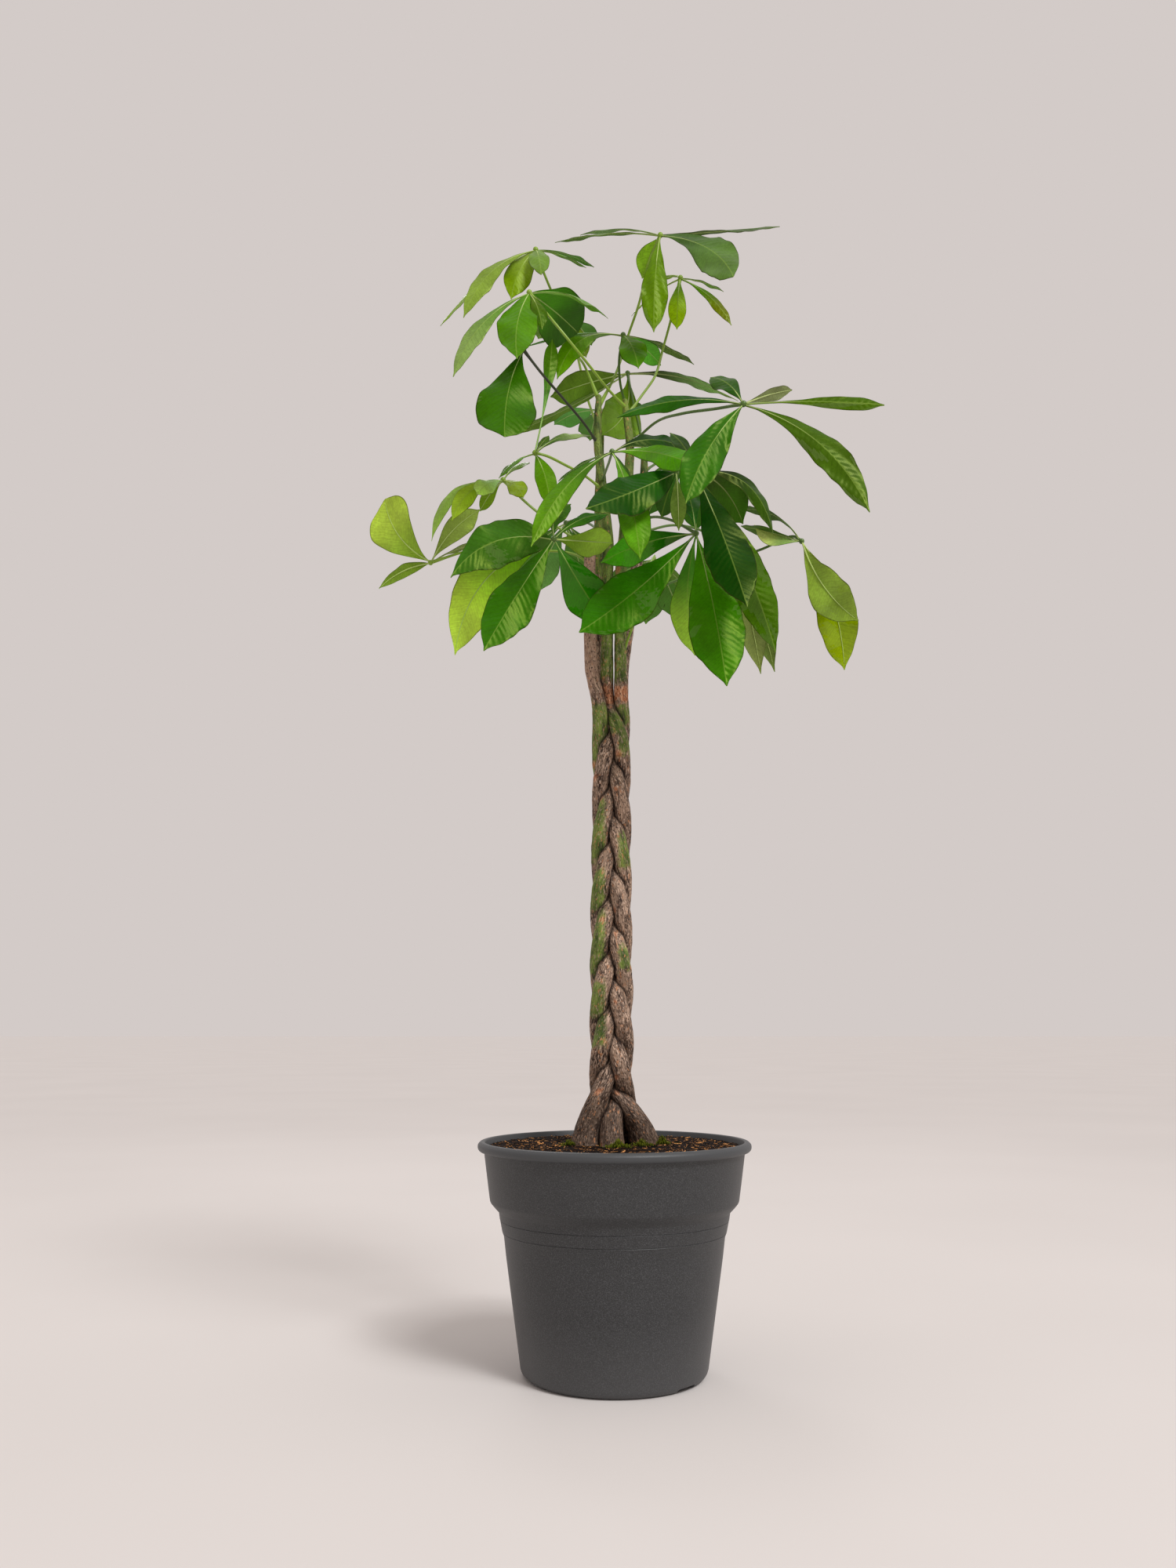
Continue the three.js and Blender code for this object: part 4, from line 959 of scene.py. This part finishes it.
# Painted shade of the pucker: darker next to each side vein, lighter midway between the veins.
pucker_shade = add(tree, "MapRange", {"Value": beside, "From Max": 0.5, "To Min": 0.93, "To Max": 1.05})
uneven = add(tree, "Math", {0: broad, 1: fine}, operation="MULTIPLY")
shaded = add(tree, "Math", {0: uneven, 1: pucker_shade}, operation="MULTIPLY")
lit = add(tree, "HueSaturation", {"Color": tint, "Value": shaded})
under_share = add(tree, "Math", {0: under, 1: 0.15}, operation="MULTIPLY")
paled = add(tree, "Mix", {0: under_share, 6: lit, 7: linear("#93a56c")}, data_type="RGBA")
paler = add(tree, "HueSaturation", {"Color": paled, "Value": 1.6})
veined = add(tree, "Mix", {0: vein, 6: paled, 7: paler}, data_type="RGBA")
ribbed = add(tree, "Mix", {0: midrib, 6: veined, 7: linear("#9cba52")}, data_type="RGBA")
edged = add(tree, "Mix", {0: margin, 6: ribbed, 7: linear("#2b220b")}, data_type="RGBA")
rough_top = add(tree, "MapRange", {"Value": mottle, "To Min": 0.2, "To Max": 0.38})
rough = add(tree, "Mix", {0: under, 2: rough_top, 3: 0.6}, data_type="FLOAT")
wave = add(tree, "Math", {0: phase, 1: 2 * pi}, operation="MULTIPLY")
valley = add(tree, "Math", {0: wave}, operation="COSINE")
inward = add(tree, "MapRange", {"Value": edge, "From Max": 0.9, "To Min": -0.5, "To Max": -0.12})
pucker = add(tree, "Math", {0: valley, 1: inward}, operation="MULTIPLY")
relief = add(tree, "Math", {0: fleck, 1: 0.35, 2: pucker}, operation="MULTIPLY_ADD")
netted = add(tree, "Bump", {"Height": relief, "Strength": 0.3, "Distance": 0.0006})
shader = add(tree, "BsdfPrincipled", {
    "Base Color": edged, "Roughness": rough, "Specular IOR Level": 0.28, "Specular Tint": WAX_TINT,
    "Normal": netted,
})
glow = add(tree, "HueSaturation", {"Color": edged, "Hue": 0.48, "Value": 1.7})
through = add(tree, "BsdfTranslucent", {"Color": glow})
shader = add(tree, "MixShader", {0: 0.3, 1: shader, 2: through})
add(tree, "OutputMaterial", {"Surface": shader})

# Leaf stalk and midrib: smooth and fibrous, drawn out in faint lengthwise streaks.
stalk, tree = new_material("green_leaf_stalk")
place = add(tree, "TexCoord").outputs["Object"]
tint = add(tree, "Attribute", attribute_name="tint").outputs["Color"]
streak = add(tree, "TexNoise", {"Vector": place, "Scale": 160, "Detail": 3})
streaked = add(tree, "MapRange", {"Value": streak, "From Min": 0.3, "From Max": 0.7, "To Min": 0.8})
stalk_colour = add(tree, "HueSaturation", {"Color": tint, "Value": streaked})
shader = add(tree, "BsdfPrincipled", {"Base Color": stalk_colour, "Roughness": 0.42})
add(tree, "OutputMaterial", {"Surface": shader})


def stalk_route(points):
    """A centripetal curve through the points, as a chain of places."""
    ends = [points[0] * 2 - points[1]] + points + [points[-1] * 2 - points[-2]]
    route = [points[0]]
    for before, start, end, after in zip(ends, ends[1:], ends[2:], ends[3:]):
        into, span, out = [(b - a).length ** 0.5 for a, b in ((before, start), (start, end), (end, after))]
        first = (end * into ** 2 - before * span ** 2
                 + start * (2 * into ** 2 + 3 * into * span + span ** 2)) / (3 * into * (into + span))
        second = (start * out ** 2 - after * span ** 2
                  + end * (2 * out ** 2 + 3 * out * span + span ** 2)) / (3 * out * (out + span))
        route += interpolate_bezier(start, first, second, end, STALK_STEPS + 1)[1:]
    return route


for node, trunk_name, root_height, bends, hub, stalk_tint, *leaflets in LEAVES:
    bm = bmesh.new()
    tint_layer = bm.verts.layers.float_vector.new("tint")
    blade_layer = bm.verts.layers.float_vector.new("blade")
    under_layer = bm.verts.layers.float.new("under")
    hub = Vector(hub)
    x, y, _ = trunk_at(TRUNKS[trunk_name], root_height)
    route = stalk_route([Vector((x, y, root_height))] + [Vector(bend) for bend in bends] + [hub])
    last = len(route) - 1
    radii = []
    for i in range(last + 1):
        share = i / last
        flare = ROOT_FLARE[0] * max(0, 1 - share * ROOT_FLARE[1])
        flare += KNOB_FLARE[0] * max(0, 1 - (1 - share) * KNOB_FLARE[1])
        radii.append(STALK_RADIUS * (1 + flare))
    stalk_colour = Vector(linear(stalk_tint)[:3])
    knob = bmesh.ops.create_icosphere(bm, subdivisions=3, radius=HUB_RADIUS, matrix=Matrix.Translation(hub))
    for corner in tube(bm, route, radii, STALK_SIDES) + knob["verts"]:
        corner[tint_layer] = stalk_colour
    stalk_faces = set(bm.faces)
    for order, (dx, dy, dz, width, facing, colour, *form) in enumerate(leaflets):
        form = {**PLAIN_FORM, "tip": colour, **(form[0] if form else {})}
        arch, bend, twist, fullest, skew, blunt, tip = form.values()
        run = Vector((dx, dy, dz))
        length = run.length
        run.normalize()
        crisp = MARGIN_RIPPLE * min(1, width / WIDE_BLADE)
        up = square_to(run, facing)
        rise = square_to(run, (0, 0, 1))
        aside = run.cross(up)
        tip_colour = Vector(linear(tip)[:3])
        colour = Vector(linear(colour)[:3])

        def middle_of(t):
            """The middle of the blade at a share of its length, and how it is turned there."""
            bow = length * 4 * t * (1 - t)
            middle = hub + run * mix(BLADE_ROOT, length, t) + (rise * arch + aside * bend) * bow
            return middle, Matrix.Rotation(radians(twist) * (t - 0.5), 3, run)

        made_faces = set(bm.faces)
        sheet = bmesh.ops.create_grid(bm, x_segments=BLADE_COLUMNS, y_segments=BLADE_ROWS, size=1)["verts"]
        sheet_faces = [face for face in bm.faces if face not in made_faces]
        for corner in sheet:
            column = copysign(abs(corner.co.x) ** COLUMN_CROWDING, corner.co.x)
            edge = abs(column)
            t = (corner.co.y + 1) / 2
            middle, turn = middle_of(t)
            shape = sin(pi * min(t, 1) ** (fullest * (1 + skew * column))) ** blunt
            shape *= min(1, (1 - min(t, 1)) / TIP_DRAWN) ** (blunt / 2)
            half_at, leaflet_at = copysign(PATCHES_APART[0], column), hub.x + PATCHES_APART[1] * order
            patch = Vector((t * length / MARGIN_PATCH, half_at, leaflet_at))
            shape *= 1 + MARGIN_UNEVEN * edge * noise.noise(patch)
            half = max(width / 2 * shape, mix(BLADE_STALK_HALF, BLADE_TIP_HALF, t))
            reach = column * half
            veins = (t * length - abs(reach) * VEIN_SLANT) / VEIN_SPACING
            swing = sin(2 * pi * BLADE_WAVES * t + order * column)
            ripple = crisp * edge ** 3 * shape * sin(veins * RIPPLES_A_VEIN + order + column)
            lift = column * BLADE_WAVE * width * shape * swing - edge * BLADE_DROOP * half + ripple
            corner.co = middle + turn @ aside * reach + turn @ up * (lift + BLADE_THICKNESS / 2)
            corner[tint_layer] = colour.lerp(tip_colour, smoothstep(t, *TIP_COLOUR_AT))
            corner[blade_layer] = (reach, veins, edge)
        known = set(bm.verts)
        bmesh.ops.solidify(bm, geom=sheet_faces, thickness=BLADE_THICKNESS)
        for corner in set(bm.verts) - known:
            corner[under_layer] = 1
        made_faces = set(bm.faces)
        rib_radii = [mix(*RIB_RADII, i / RIB_RINGS) for i in range(RIB_RINGS)]
        rib_route = []
        for i, radius in enumerate(rib_radii):
            middle, turn = middle_of(i / RIB_RINGS)
            rib_route.append(middle - turn @ up * 0.5 * radius)
        for corner in tube(bm, rib_route, rib_radii, RIB_SIDES):
            corner[tint_layer] = colour.lerp(Vector(linear(RIB_TINT)[:3]), RIB_TINT_SHARE)
        stalk_faces |= set(bm.faces) - made_faces
    for face in stalk_faces:
        face.material_index = 1
    finished("grown_" + node, bm, [blade, stalk], "leaf_green", node)
